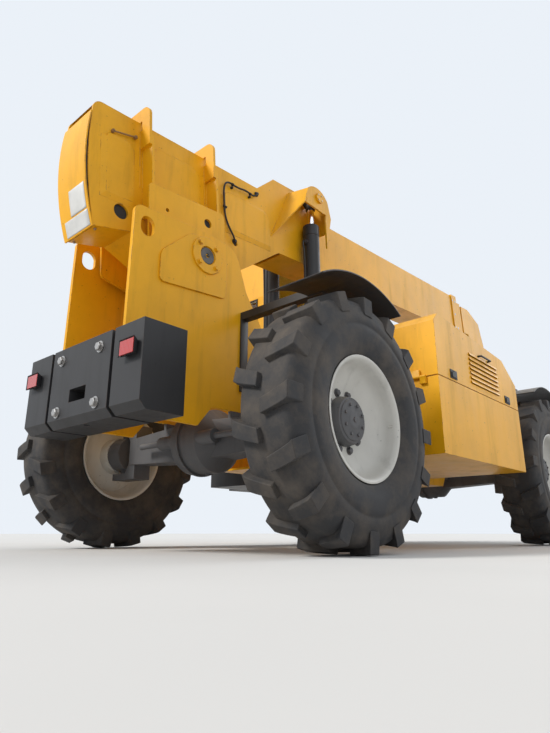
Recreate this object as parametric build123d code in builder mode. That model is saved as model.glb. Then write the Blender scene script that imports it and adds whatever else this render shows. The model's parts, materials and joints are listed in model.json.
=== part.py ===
"""Telehandler with a three-section boom, cab on the left and engine pod on the right.

Frame: +X to the front, +Y to the machine's left, +Z up, in millimetres. The origin is on the ground
under the middle of the machine's overall length. Boom shapes are drawn in the boom's own side view,
(s, d): s runs along the boom from its tail end, d is the height above its top edge.
"""

import os
from math import cos, hypot, radians, sin

from build123d import *

# Fits
RUNNING = 0.05
SEAT = 0.3

# Running gear
WHEELBASE = 3100.0
TYRE_RADIUS = 645.0
TYRE_WIDTH = 345.0
TYRE_FACETS = 32
LUG_COUNT = 16
LUG_DEPTH = 30.0
LUG_WIDTH = 78.0
LUG_SLANT = 55.0
LUG_REACH = 90.0
RIM_RADIUS = 305.0
TRACK_HALF = 1045.0
KINGPIN_Y = 860.0
AXLE_Z = TYRE_RADIUS

# Boom, measured in its own side view
BOOM_ANGLE = 4.5
PIVOT_S = 655.0
PIVOT_D = -832.0
PIVOT_Z = 1706.0
PIVOT_BEHIND_AXLE = 330.0
PIVOT_PIN_R = 55.0
PIVOT_BOSS_R = 92.0
BOOM_HALF_W = 140.0
BOOM_DEPTH = 460.0
BOOM_WALL = 14.0
OUTER_LENGTH = 4900.0
TAIL_DEPTH = 790.0
TAIL_BOW = 41.0
TAIL_CORNER_R = 60.0
TAIL_FLOOR_RISE = 42.0
TAIL_FLOOR_LENGTH = 240.0
COVER_TOP = (-33.0, -88.0)
COVER_LOW = (-8.0, -798.0)
COVER_BOW = 43.0
COVER_T = 8.0

MID_REAR_S = 180.0
MID_FRONT_S = 5080.0
MID_HALF_W = 118.0
MID_TOP_D = -32.0
MID_DEPTH = 396.0
MID_WALL = 10.0
INNER_REAR_S = 300.0
INNER_FRONT_S = 5250.0
INNER_HALF_W = 98.0
INNER_TOP_D = -58.0
INNER_DEPTH = 344.0
INNER_WALL = 10.0
PAD_LENGTH = 130.0

RIB_T = 18.0
RIB_HALF_W = 238.0
RIB_TOP = 86.0
RIB_CORNER_R = 62.0
RIB_LAP_D = -185.0
RIB_LAP = 70.0
RIB_BOTTOM_D = -640.0
RIB_SLOT_W = 22.0
RIB_SLOT_D = -62.0
PIVOT_PLATE_T = 15.0
PIVOT_PLATE_TOP_D = -446.0
DOUBLER_T = 8.0

# Lift rams, one each side of the boom
RAM_Y = 216.0
RAM_PIN_S = 1908.0
RAM_PIN_D = 72.0
RAM_PIN_R = 27.5
RAM_BASE_AHEAD_OF_AXLE = 870.0
RAM_BASE_Z = 760.0
RAM_BASE_PIN_R = 30.0
RAM_BARREL_R = 66.0
RAM_ROD_R = 29.0
RAM_SHANK_R = 39.0
RAM_SHANK = 80.0
RAM_EYE_R = 50.0
RAM_EYE_W = 90.0
RAM_NECK = 230.0
RAM_CLOSING = 150.0
RAM_HEAD_R = 44.0
HOOD_INNER_Y = 290.0
HOOD_T = 15.0
FLARE_T = 12.0

# Chassis
FRAME_INNER_Y = 290.0
FRAME_T = 25.0
FRAME_OUTER_Y = FRAME_INNER_Y + FRAME_T
FRAME_TOP_Z = 1020.0
FRAME_BOTTOM_Z = 520.0
FRAME_ARCH_Z = 790.0
FRAME_FRONT_AHEAD = 3790.0

# Nose, carriage and forks
NOSE_S = 5910.0
NOSE_D = -1757.0
NOSE_PIN_R = 30.0
NOSE_PLATE_T = 25.0
NOSE_INNER_Y = 98.0
TILT_LEVER = 250.0
TILT_LEVER_ANGLE = 66.0
TILT_PIN_R = 22.0
TILT_EYE_R = 42.0
TILT_BARREL_R = 52.0
TILT_ROD_R = 26.0
TILT_LENGTH = 950.0
TILT_SHANK_R = 32.0
TILT_SHANK = 75.0
TILT_NECK = 230.0
TILT_CLOSING = 120.0
TILT_ANGLE = 118.0
CARRIAGE_HALF_W = 620.0
CARRIAGE_FACE_AHEAD = 330.0
CARRIAGE_BAR_R = 32.0
CARRIAGE_BAR_RISE = 330.0
CARRIAGE_FOOT_DROP = 260.0
FORK_HALF_GAP = 330.0
FORK_WIDTH = 130.0
FORK_THICKNESS = 50.0
FORK_LENGTH = 1200.0
FORK_DROP = 370.0

# Cab and engine pod
CAB_REAR = 900.0
CAB_FRONT_LOW = 2290.0
CAB_FRONT_HIGH = 2480.0
CAB_ROOF_FRONT = 2240.0
CAB_FLOOR_Z = 700.0
CAB_STEP_Z = 1310.0
CAB_NOSE_Z = 1560.0
CAB_ROOF_Z = 2560.0
CAB_INNER_Y = 345.0
CAB_OUTER_Y = 1190.0
CAB_WALL = 40.0
DOOR_REAR = 1060.0
DOOR_FRONT = 2080.0
DOOR_LOW_Z = 760.0
DOOR_HIGH_Z = 2440.0
DOOR_GAP = 6.0
GLASS_T = 6.0
SEAT_AHEAD = 1180.0
SEAT_Z = 1180.0
SEAT_CUSHION = 500.0
SEAT_BACK_H = 640.0
SEAT_HALF_W = 245.0
POD_REAR = 850.0
POD_FRONT = 2300.0
POD_INNER_Y = FRAME_OUTER_Y + SEAT
POD_OUTER_Y = 1190.0
POD_LOW_Z = 560.0
POD_SPLIT_Z = 1050.0
POD_TOP_Z = 1480.0
POD_WALL = 25.0
ENGINE_LENGTH = 880.0
ENGINE_WIDTH = 560.0
ENGINE_HEIGHT = 720.0
LOUVRE_COUNT = 7
LOUVRE_LENGTH = 520.0
LOUVRE_PITCH = 34.0
EXHAUST_AHEAD = 2378.0
EXHAUST_Y = 387.0
EXHAUST_R = 62.0
EXHAUST_LOW_Z = 800.0
EXHAUST_HIGH_Z = 1560.0
TAILPIPE_R = 30.0
TAILPIPE_Z = 1980.0
TANK_OUTER_Y = 1050.0
TANK_INSET = 100.0
TANK_LOW_Z = 480.0
STEP_DEPTH = 150.0
STEP_LENGTH = 460.0

# Where the pieces stand, worked out from the sizes above
lap_top = RIB_LAP_D + RIB_LAP
cos_a = cos(radians(BOOM_ANGLE))
sin_a = sin(radians(BOOM_ANGLE))
cover_half = hypot(COVER_TOP[0] - COVER_LOW[0], COVER_TOP[1] - COVER_LOW[1]) / 2
cover_radius = (cover_half**2 + COVER_BOW**2) / (2 * COVER_BOW)
cover_lean = (
    (COVER_TOP[1] - COVER_LOW[1]) / (2 * cover_half),
    (COVER_LOW[0] - COVER_TOP[0]) / (2 * cover_half),
)
cover_mid = ((COVER_TOP[0] + COVER_LOW[0]) / 2, (COVER_TOP[1] + COVER_LOW[1]) / 2)
cover_centre = (
    cover_mid[0] + (cover_radius - COVER_BOW) * cover_lean[0],
    cover_mid[1] + (cover_radius - COVER_BOW) * cover_lean[1],
)
origin_behind = -PIVOT_BEHIND_AXLE - PIVOT_S * cos_a + PIVOT_D * sin_a
rear_most = origin_behind + cover_centre[0] * cos_a - cover_centre[1] * sin_a - cover_radius
nose_ahead = origin_behind + NOSE_S * cos_a - NOSE_D * sin_a
fork_face_ahead = nose_ahead + CARRIAGE_FACE_AHEAD
front_most = fork_face_ahead + FORK_THICKNESS + FORK_LENGTH
REAR_AXLE_X = -(rear_most + front_most) / 2
FRONT_AXLE_X = REAR_AXLE_X + WHEELBASE
BOOM_X = REAR_AXLE_X + origin_behind
BOOM_Z = PIVOT_Z - PIVOT_S * sin_a - PIVOT_D * cos_a


def boom_point(s, d):
    """World (x, z) of a point of the boom's side view, with the boom at rest."""
    return (BOOM_X + s * cos_a - d * sin_a, BOOM_Z + s * sin_a + d * cos_a)


def side_plane(y):
    """Side view of the machine at a distance y from its middle, seen from the right."""
    return Plane(origin=(0, y, 0), x_dir=(1, 0, 0), z_dir=(0, -1, 0))


def cross_plane(x, y, z):
    """Plane across the machine at x: local x to its left, local y up."""
    return Plane(origin=(x, y, z), x_dir=(0, 1, 0), z_dir=(1, 0, 0))


def boom_plane(y):
    """Side view of the boom at a distance y from its middle, seen from the right."""
    return Plane(origin=(BOOM_X, y, BOOM_Z), x_dir=(cos_a, 0, sin_a), z_dir=(0, -1, 0))


def boom_section(s):
    """Cross-section plane of the boom at s: local x to the machine's left, local y up the boom."""
    x, z = boom_point(s, 0)
    return Plane(origin=(x, 0, z), x_dir=(0, 1, 0), z_dir=(cos_a, 0, sin_a))


def ram_plane(base, tip, y):
    """Plane whose normal runs from a ram's base to its tip."""
    return Plane(
        origin=(base[0], y, base[1]),
        x_dir=(0, 1, 0),
        z_dir=(tip[0] - base[0], 0, tip[1] - base[1]),
    )


def save(piece, name):
    """Labels a finished sub-part and writes it."""
    piece.part.label = name
    export_step(piece.part, f"parts/{name}.step")


os.makedirs("parts", exist_ok=True)

PIVOT = boom_point(PIVOT_S, PIVOT_D)
RAM_PIN = boom_point(RAM_PIN_S, RAM_PIN_D)
RAM_BASE = (REAR_AXLE_X + RAM_BASE_AHEAD_OF_AXLE, RAM_BASE_Z)
NOSE_PIVOT = boom_point(NOSE_S, NOSE_D)
CARRIAGE_BAR_Z = NOSE_PIVOT[1] + CARRIAGE_BAR_RISE
CARRIAGE_FOOT_Z = NOSE_PIVOT[1] - CARRIAGE_FOOT_DROP
FORK_BOTTOM_Z = NOSE_PIVOT[1] - FORK_DROP
TILT_PIN = (
    NOSE_PIVOT[0] + TILT_LEVER * cos(radians(TILT_LEVER_ANGLE)),
    NOSE_PIVOT[1] + TILT_LEVER * sin(radians(TILT_LEVER_ANGLE)),
)
TILT_BASE = (
    TILT_PIN[0] + TILT_LENGTH * cos(radians(TILT_ANGLE)),
    TILT_PIN[1] + TILT_LENGTH * sin(radians(TILT_ANGLE)),
)


# Wheels: a rim with its hub, a tyre, and the knuckle that steers them
WHEELS = (
    # name, axle x, side (+1 left, -1 right)
    ("front_left", FRONT_AXLE_X, 1),
    ("front_right", FRONT_AXLE_X, -1),
    ("rear_left", REAR_AXLE_X, 1),
    ("rear_right", REAR_AXLE_X, -1),
)
KNUCKLE_R = 120.0
KNUCKLE_SIDES = 12
KNUCKLE_INNER_Y = 790.0
KNUCKLE_OUTER_Y = 925.0
KINGPIN_R = 34.0
YOKE_LOW = 140.0
YOKE_HIGH = 185.0
HUB_R = 128.0
HUB_END_Y = 1115.0
RIM_WALL = 12.0
DISC_Y = 1020.0


def wheel_plane(x, side):
    """Half-section of a wheel: local x away from the machine's middle, local y out from the axle."""
    return Plane(origin=(x, 0, AXLE_Z), x_dir=(0, side, 0), z_dir=(side, 0, 0))


def wheel_face(x, y, side):
    """Face of a wheel at a distance y from the machine's middle, seen from outside."""
    return Plane(origin=(x, side * y, AXLE_Z), x_dir=(1, 0, 0), z_dir=(0, side, 0))


def lug_row(x, side, half):
    """One row of slanted lugs: the outer half of the tread for half = 1, the inner half for -1."""
    shoulder = half * (TYRE_WIDTH / 2 - 5)
    turn = 180.0 / LUG_COUNT if half < 0 else 0.0
    with BuildPart() as lug:
        with BuildSketch(Plane(origin=(x, side * TRACK_HALF, AXLE_Z - TYRE_RADIUS), x_dir=(1, 0, 0))):
            with BuildLine():
                Polyline(
                    (-LUG_WIDTH / 2 - LUG_SLANT / 2, side * shoulder),
                    (LUG_WIDTH / 2 - LUG_SLANT / 2, side * shoulder),
                    (LUG_WIDTH / 2 - 8 + LUG_SLANT / 2, -side * half * 12),
                    (-LUG_WIDTH / 2 + 8 + LUG_SLANT / 2, -side * half * 12),
                    close=True,
                )
            make_face()
        extrude(amount=LUG_REACH)
    axis = Axis((x, 0, AXLE_Z), (0, 1, 0))
    return [lug.part.rotate(axis, turn + step * 360.0 / LUG_COUNT) for step in range(LUG_COUNT)]


for wheel, axle_x, side in WHEELS:
    half_tyre = TYRE_WIDTH / 2
    tyre_in = TRACK_HALF - half_tyre
    tyre_out = TRACK_HALF + half_tyre
    tyre_lugs = lug_row(axle_x, side, 1) + lug_row(axle_x, side, -1)
    with BuildPart() as tyre:
        for y, r in (
            # distance from the machine's middle, radius to the facets' corners
            (tyre_in + 45, RIM_RADIUS + 12),
            (tyre_in, RIM_RADIUS + 115),
            (tyre_in + 4, TYRE_RADIUS - 95),
            (tyre_in + 38, TYRE_RADIUS - LUG_DEPTH),
            (tyre_out - 38, TYRE_RADIUS - LUG_DEPTH),
            (tyre_out - 4, TYRE_RADIUS - 95),
            (tyre_out, RIM_RADIUS + 115),
            (tyre_out - 45, RIM_RADIUS + 12),
        ):
            with BuildSketch(wheel_face(axle_x, y, side)):
                RegularPolygon(r, TYRE_FACETS)
        loft(ruled=True)
        add(tyre_lugs)
        with BuildSketch(wheel_face(axle_x, tyre_in - 10, side)):
            RegularPolygon(RIM_RADIUS, TYRE_FACETS, major_radius=False)
        extrude(amount=TYRE_WIDTH + 20, mode=Mode.SUBTRACT)
    save(tyre, f"tyre_{wheel}")

    rim_in = tyre_in + 35
    rim_out = tyre_out - 35
    rim_r = RIM_RADIUS - SEAT
    with BuildPart() as rim:
        with BuildSketch(wheel_plane(axle_x, side)):
            with BuildLine():
                Polyline(
                    (rim_in, rim_r),
                    (rim_out, rim_r),
                    (rim_out, rim_r - RIM_WALL),
                    (DISC_Y + 55, rim_r - RIM_WALL - 30),
                    (DISC_Y + 15, HUB_R + 30),
                    (HUB_END_Y - 20, HUB_R - 12),
                    (HUB_END_Y, HUB_R - 45),
                    (HUB_END_Y, 0),
                    (KNUCKLE_OUTER_Y + SEAT, 0),
                    (KNUCKLE_OUTER_Y + SEAT, HUB_R),
                    (DISC_Y, HUB_R),
                    (DISC_Y + 25, rim_r - RIM_WALL - 35),
                    (rim_in, rim_r - RIM_WALL),
                    close=True,
                )
            make_face()
        revolve(axis=Axis((axle_x, 0, AXLE_Z), (0, 1, 0)))
    save(rim, f"rim_{wheel}")

    with BuildPart() as knuckle:
        with BuildSketch(wheel_face(axle_x, KNUCKLE_INNER_Y, side)):
            RegularPolygon(KNUCKLE_R, KNUCKLE_SIDES)
        extrude(amount=KNUCKLE_OUTER_Y - KNUCKLE_INNER_Y)
        with Locations((axle_x, side * KINGPIN_Y, AXLE_Z)):
            Cylinder(KINGPIN_R, 2 * YOKE_HIGH)
    save(knuckle, f"knuckle_{wheel}")

# Axles: beam, differential and an open yoke at each end that holds the kingpins
AXLE_R = 95.0
AXLE_HALF_X = 80.0
DIFF_R = 195.0
DIFF_HALF = 110.0
DIFF_CONE = 90.0
STEER_RAM_R = 42.0
STEER_ROD_R = 18.0
STEER_BEHIND = 150.0
STEER_HALF = 250.0
STEER_REACH = 470.0
BEAM_END_Y = 720.0
YOKE_HALF_X = 65.0
AXLE_PAD_HALF = 90.0

for axle_name, axle_x in (("axle_front", FRONT_AXLE_X), ("axle_rear", REAR_AXLE_X)):
    with BuildPart() as axle:
        with BuildSketch(wheel_plane(axle_x, 1)):
            with BuildLine():
                Polyline(
                    (-DIFF_HALF - DIFF_CONE, 0),
                    (-DIFF_HALF - DIFF_CONE, AXLE_R + 15),
                    (-DIFF_HALF, DIFF_R),
                    (DIFF_HALF, DIFF_R),
                    (DIFF_HALF + DIFF_CONE, AXLE_R + 15),
                    (DIFF_HALF + DIFF_CONE, 0),
                    close=True,
                )
            make_face()
        revolve(axis=Axis((axle_x, 0, AXLE_Z), (0, 1, 0)))
        for side in (1, -1):
            for y, wide, high in (
                # distance from the middle, half width and half height of the cast beam
                (DIFF_HALF + 20, AXLE_HALF_X + 20, AXLE_R + 20),
                (BEAM_END_Y, AXLE_HALF_X - 8, AXLE_R - 8),
            ):
                with BuildSketch(wheel_face(axle_x, y, side)):
                    Rectangle(2 * wide, 2 * high)
            loft(ruled=True)
            # steering cylinder behind the beam, carried by a lug a side
            with BuildSketch(wheel_face(axle_x - STEER_BEHIND, 0, side)):
                Circle(STEER_RAM_R)
            extrude(amount=STEER_HALF)
            with BuildSketch(wheel_face(axle_x - STEER_BEHIND, STEER_HALF - 1, side)):
                Circle(STEER_ROD_R)
            extrude(amount=STEER_REACH - STEER_HALF)
            with BuildSketch(wheel_face(axle_x - STEER_BEHIND / 2, STEER_HALF - 60, side)):
                Rectangle(STEER_BEHIND, 60)
            extrude(amount=35)
        with BuildSketch(cross_plane(axle_x, 0, 0)):
            for side in (1, -1):
                with BuildLine():
                    Polyline(
                        (side * (BEAM_END_Y - 60), AXLE_Z - YOKE_HIGH),
                        (side * (KINGPIN_Y + 60), AXLE_Z - YOKE_HIGH),
                        (side * (KINGPIN_Y + 60), AXLE_Z - YOKE_LOW),
                        (side * (KNUCKLE_INNER_Y - 20), AXLE_Z - YOKE_LOW),
                        (side * (BEAM_END_Y + 10), AXLE_Z - AXLE_R + 20),
                        (side * (BEAM_END_Y + 10), AXLE_Z + AXLE_R - 20),
                        (side * (KNUCKLE_INNER_Y - 20), AXLE_Z + YOKE_LOW),
                        (side * (KINGPIN_Y + 60), AXLE_Z + YOKE_LOW),
                        (side * (KINGPIN_Y + 60), AXLE_Z + YOKE_HIGH),
                        (side * (BEAM_END_Y - 60), AXLE_Z + YOKE_HIGH),
                        close=True,
                    )
                make_face()
        extrude(amount=YOKE_HALF_X, both=True)
        with BuildSketch(Plane.XY.offset(AXLE_Z)):
            with Locations(*[(axle_x, y * (FRAME_INNER_Y + FRAME_T / 2)) for y in (1, -1)]):
                Rectangle(2 * AXLE_PAD_HALF, FRAME_T)
        extrude(amount=FRAME_ARCH_Z - SEAT - AXLE_Z)
        for side in (1, -1):
            with Locations((axle_x, side * KINGPIN_Y, AXLE_Z)):
                Cylinder(KINGPIN_R + RUNNING, 2 * YOKE_HIGH, mode=Mode.SUBTRACT)
    save(axle, axle_name)

# Chassis plates: one long plate a side that rises at the rear into the tower for the boom's pivot
TOWER_BEHIND_PIVOT = 516.0
TOWER_AHEAD_OF_PIVOT = 250.0
TOWER_CORNER_R = 48.0
TOWER_ABOVE_PIVOT = 122.0
TOWER_CROWN = 162.0
TOWER_CROWN_R = 1500.0
TOWER_FRONT_R = 120.0
TOWER_HOLE_BEHIND = 428.0
TOWER_HOLE_ABOVE = 15.0
PIVOT_CAP_R = 118.0
PIVOT_CAP_T = 20.0

for name, side in (("right", -1), ("left", 1)):
    with BuildPart() as plate:
        with BuildSketch(side_plane(side * (FRAME_INNER_Y + FRAME_T / 2))):
            with BuildLine():
                Polyline(
                    (PIVOT[0] - TOWER_BEHIND_PIVOT, PIVOT_Z + TOWER_ABOVE_PIVOT),
                    (PIVOT[0] - 20, PIVOT_Z + TOWER_CROWN),
                    (PIVOT[0] + TOWER_AHEAD_OF_PIVOT, PIVOT_Z + TOWER_ABOVE_PIVOT + 20),
                    (PIVOT[0] + TOWER_AHEAD_OF_PIVOT + 100, PIVOT_Z - 120),
                    (REAR_AXLE_X + 420, FRAME_TOP_Z),
                    (REAR_AXLE_X + FRAME_FRONT_AHEAD - 120, FRAME_TOP_Z),
                    (REAR_AXLE_X + FRAME_FRONT_AHEAD, FRAME_TOP_Z - 120),
                    (REAR_AXLE_X + FRAME_FRONT_AHEAD, FRAME_BOTTOM_Z + 150),
                    (FRONT_AXLE_X + 330, FRAME_BOTTOM_Z + 150),
                    (FRONT_AXLE_X + 240, FRAME_ARCH_Z),
                    (FRONT_AXLE_X - 240, FRAME_ARCH_Z),
                    (FRONT_AXLE_X - 420, FRAME_BOTTOM_Z),
                    (REAR_AXLE_X + 420, FRAME_BOTTOM_Z),
                    (REAR_AXLE_X + 240, FRAME_ARCH_Z),
                    (REAR_AXLE_X - 240, FRAME_ARCH_Z),
                    (REAR_AXLE_X - 340, FRAME_BOTTOM_Z + 150),
                    (REAR_AXLE_X - 640, FRAME_BOTTOM_Z + 150),
                    (PIVOT[0] - TOWER_BEHIND_PIVOT, FRAME_TOP_Z + 60),
                    close=True,
                )
            make_face()
            for x, z, corner_r in (
                (PIVOT[0] - TOWER_BEHIND_PIVOT, PIVOT_Z + TOWER_ABOVE_PIVOT, TOWER_CORNER_R),
                (PIVOT[0] - 20, PIVOT_Z + TOWER_CROWN, TOWER_CROWN_R),
                (PIVOT[0] + TOWER_AHEAD_OF_PIVOT, PIVOT_Z + TOWER_ABOVE_PIVOT + 20, TOWER_FRONT_R),
            ):
                fillet(vertices().sort_by_distance((x, z, 0))[0], radius=corner_r)
            with Locations(PIVOT):
                Circle(PIVOT_PIN_R + RUNNING, mode=Mode.SUBTRACT)
            with Locations(RAM_BASE):
                Circle(RAM_BASE_PIN_R + RUNNING, mode=Mode.SUBTRACT)
            with Locations((PIVOT[0] - TOWER_HOLE_BEHIND, PIVOT_Z + TOWER_HOLE_ABOVE)):
                SlotCenterToCenter(30, 88, rotation=90, mode=Mode.SUBTRACT)
        extrude(amount=FRAME_T / 2, both=True)
    save(plate, f"frame_plate_{name}")

# What joins the two plates: belly plate, ram lugs, a box at each end and a cross tube in the towers
BELLY_T = 15.0
LUG_INNER_Y = 132.0
LUG_T = 18.0

with BuildPart() as frame_cross:
    with BuildSketch(Plane.XY.offset(FRAME_BOTTOM_Z)):
        with Locations((REAR_AXLE_X + (420 + WHEELBASE - 420) / 2, 0)):
            Rectangle(WHEELBASE - 840, 2 * FRAME_INNER_Y)
    extrude(amount=BELLY_T)
    for y in (LUG_INNER_Y + LUG_T, -LUG_INNER_Y):
        with BuildSketch(side_plane(y)):
            with BuildLine():
                Polyline(
                    (RAM_BASE[0] - 190, FRAME_BOTTOM_Z + BELLY_T),
                    (RAM_BASE[0] - 75, RAM_BASE_Z + 50),
                    (RAM_BASE[0] - 40, RAM_BASE_Z + 75),
                    (RAM_BASE[0] + 40, RAM_BASE_Z + 75),
                    (RAM_BASE[0] + 75, RAM_BASE_Z + 50),
                    (RAM_BASE[0] + 190, FRAME_BOTTOM_Z + BELLY_T),
                    close=True,
                )
            make_face()
            with Locations(RAM_BASE):
                Circle(RAM_BASE_PIN_R + RUNNING, mode=Mode.SUBTRACT)
        extrude(amount=LUG_T)
    with BuildSketch(side_plane(0)):
        with Locations((REAR_AXLE_X + FRAME_FRONT_AHEAD - 160, FRAME_TOP_Z - 140)):
            Rectangle(200, 200)
        with Locations((REAR_AXLE_X - 520, FRAME_TOP_Z - 140)):
            Rectangle(200, 220)
    extrude(amount=FRAME_INNER_Y, both=True)
save(frame_cross, "frame_cross")

with BuildPart() as chassis_pins:
    with BuildSketch(side_plane(0)):
        with Locations(PIVOT):
            Circle(PIVOT_PIN_R)
    extrude(amount=FRAME_OUTER_Y + 12, both=True)
    # round retaining plates on the pivot's ends
    for side in (1, -1):
        with BuildSketch(side_plane(side * (FRAME_OUTER_Y + SEAT + PIVOT_CAP_T / 2))):
            with Locations(PIVOT):
                Circle(PIVOT_CAP_R)
        extrude(amount=PIVOT_CAP_T / 2, both=True)
    for y in (FRAME_OUTER_Y - 2, -LUG_INNER_Y + 5):
        with BuildSketch(side_plane(y)):
            with Locations(RAM_BASE):
                Circle(RAM_BASE_PIN_R)
        extrude(amount=FRAME_OUTER_Y + 3 - LUG_INNER_Y)
save(chassis_pins, "chassis_pins")

# Ballast at the rear, between and outside the plates, with a towing jaw
BALLAST_REAR = 900.0
BALLAST_FRONT = 640.0
BALLAST_HALF_W = 560.0
BALLAST_LOW_Z = 640.0
BALLAST_HIGH_Z = 1080.0
TOW_R = 16.0
TOW_JAW_Z = 760.0
TOW_SETBACK = 75.0

with BuildPart() as counterweight:
    with BuildSketch(side_plane(0)):
        with BuildLine():
            Polyline(
                (REAR_AXLE_X - BALLAST_REAR, BALLAST_LOW_Z + 40),
                (REAR_AXLE_X - BALLAST_REAR, BALLAST_HIGH_Z),
                (REAR_AXLE_X - BALLAST_FRONT - SEAT, BALLAST_HIGH_Z),
                (REAR_AXLE_X - BALLAST_FRONT - SEAT, BALLAST_LOW_Z),
                (REAR_AXLE_X - BALLAST_REAR + 40, BALLAST_LOW_Z),
                close=True,
            )
        make_face()
    extrude(amount=BALLAST_HALF_W, both=True)
    for y in (FRAME_OUTER_Y + SEAT, -FRAME_INNER_Y + SEAT):
        with BuildSketch(side_plane(y)):
            with BuildLine():
                Polyline(
                    (REAR_AXLE_X - BALLAST_REAR - 20, BALLAST_LOW_Z - 50),
                    (REAR_AXLE_X - BALLAST_REAR - 20, BALLAST_HIGH_Z + 50),
                    (REAR_AXLE_X - BALLAST_FRONT + 50, BALLAST_HIGH_Z + 50),
                    (REAR_AXLE_X - BALLAST_FRONT + 50, BALLAST_LOW_Z - 50),
                    close=True,
                )
            make_face()
        extrude(amount=FRAME_T + 2 * SEAT, mode=Mode.SUBTRACT)
    with BuildSketch(Plane.XY.offset(TOW_JAW_Z)):
        with Locations((REAR_AXLE_X - BALLAST_REAR, 0)):
            Rectangle(240, 160)
    extrude(amount=70, mode=Mode.SUBTRACT)
    with Locations((REAR_AXLE_X - BALLAST_REAR + TOW_SETBACK, 0, TOW_JAW_Z)):
        Cylinder(TOW_R, 400, mode=Mode.SUBTRACT)
save(counterweight, "counterweight")

# Outer boom: side plates deepened at the tail for the pivot, hoop ribs, pivot plates and ram brackets
RIBS = (
    # s of the rib's rear face
    298.0,
    812.0,
)
DOUBLERS = (
    # rear s, front s, top d, low d, radius of the front top corner
    (70.0, 252.0, -178.0, -560.0, 55.0),
    (400.0, 766.0, -118.0, -445.0, 85.0),
    (1000.0, 1458.0, -166.0, -445.0, 85.0),
)
P_HOLES = (
    # s, d, radius of the holes through the side plates
    (172.0, -645.0, 46.0),
    (1090.0, -537.0, 20.0),
)
PIVOT_PLATE_HOLES = (
    # s, d, radius of the holes through the pivot plates
    (734.0, -560.0, 30.0),
    (415.0, -589.0, 12.0),
)
FLOOR_T = 12.0
floor_line = (
    # the tail's floor, along the lower edge of the side plates
    (10, -TAIL_DEPTH),
    (TAIL_FLOOR_LENGTH, -TAIL_DEPTH + TAIL_FLOOR_RISE),
    (PIVOT_S - 210, PIVOT_D - 20),
)

SADDLE_RISE = (
    # s, d of the side plates' rise between the ram brackets
    (1345.0, 0.0),
    (1541.0, 160.0),
    (1828.0, 166.0),
    (2030.0, 40.0),
    (2085.0, 0.0),
)

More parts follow.
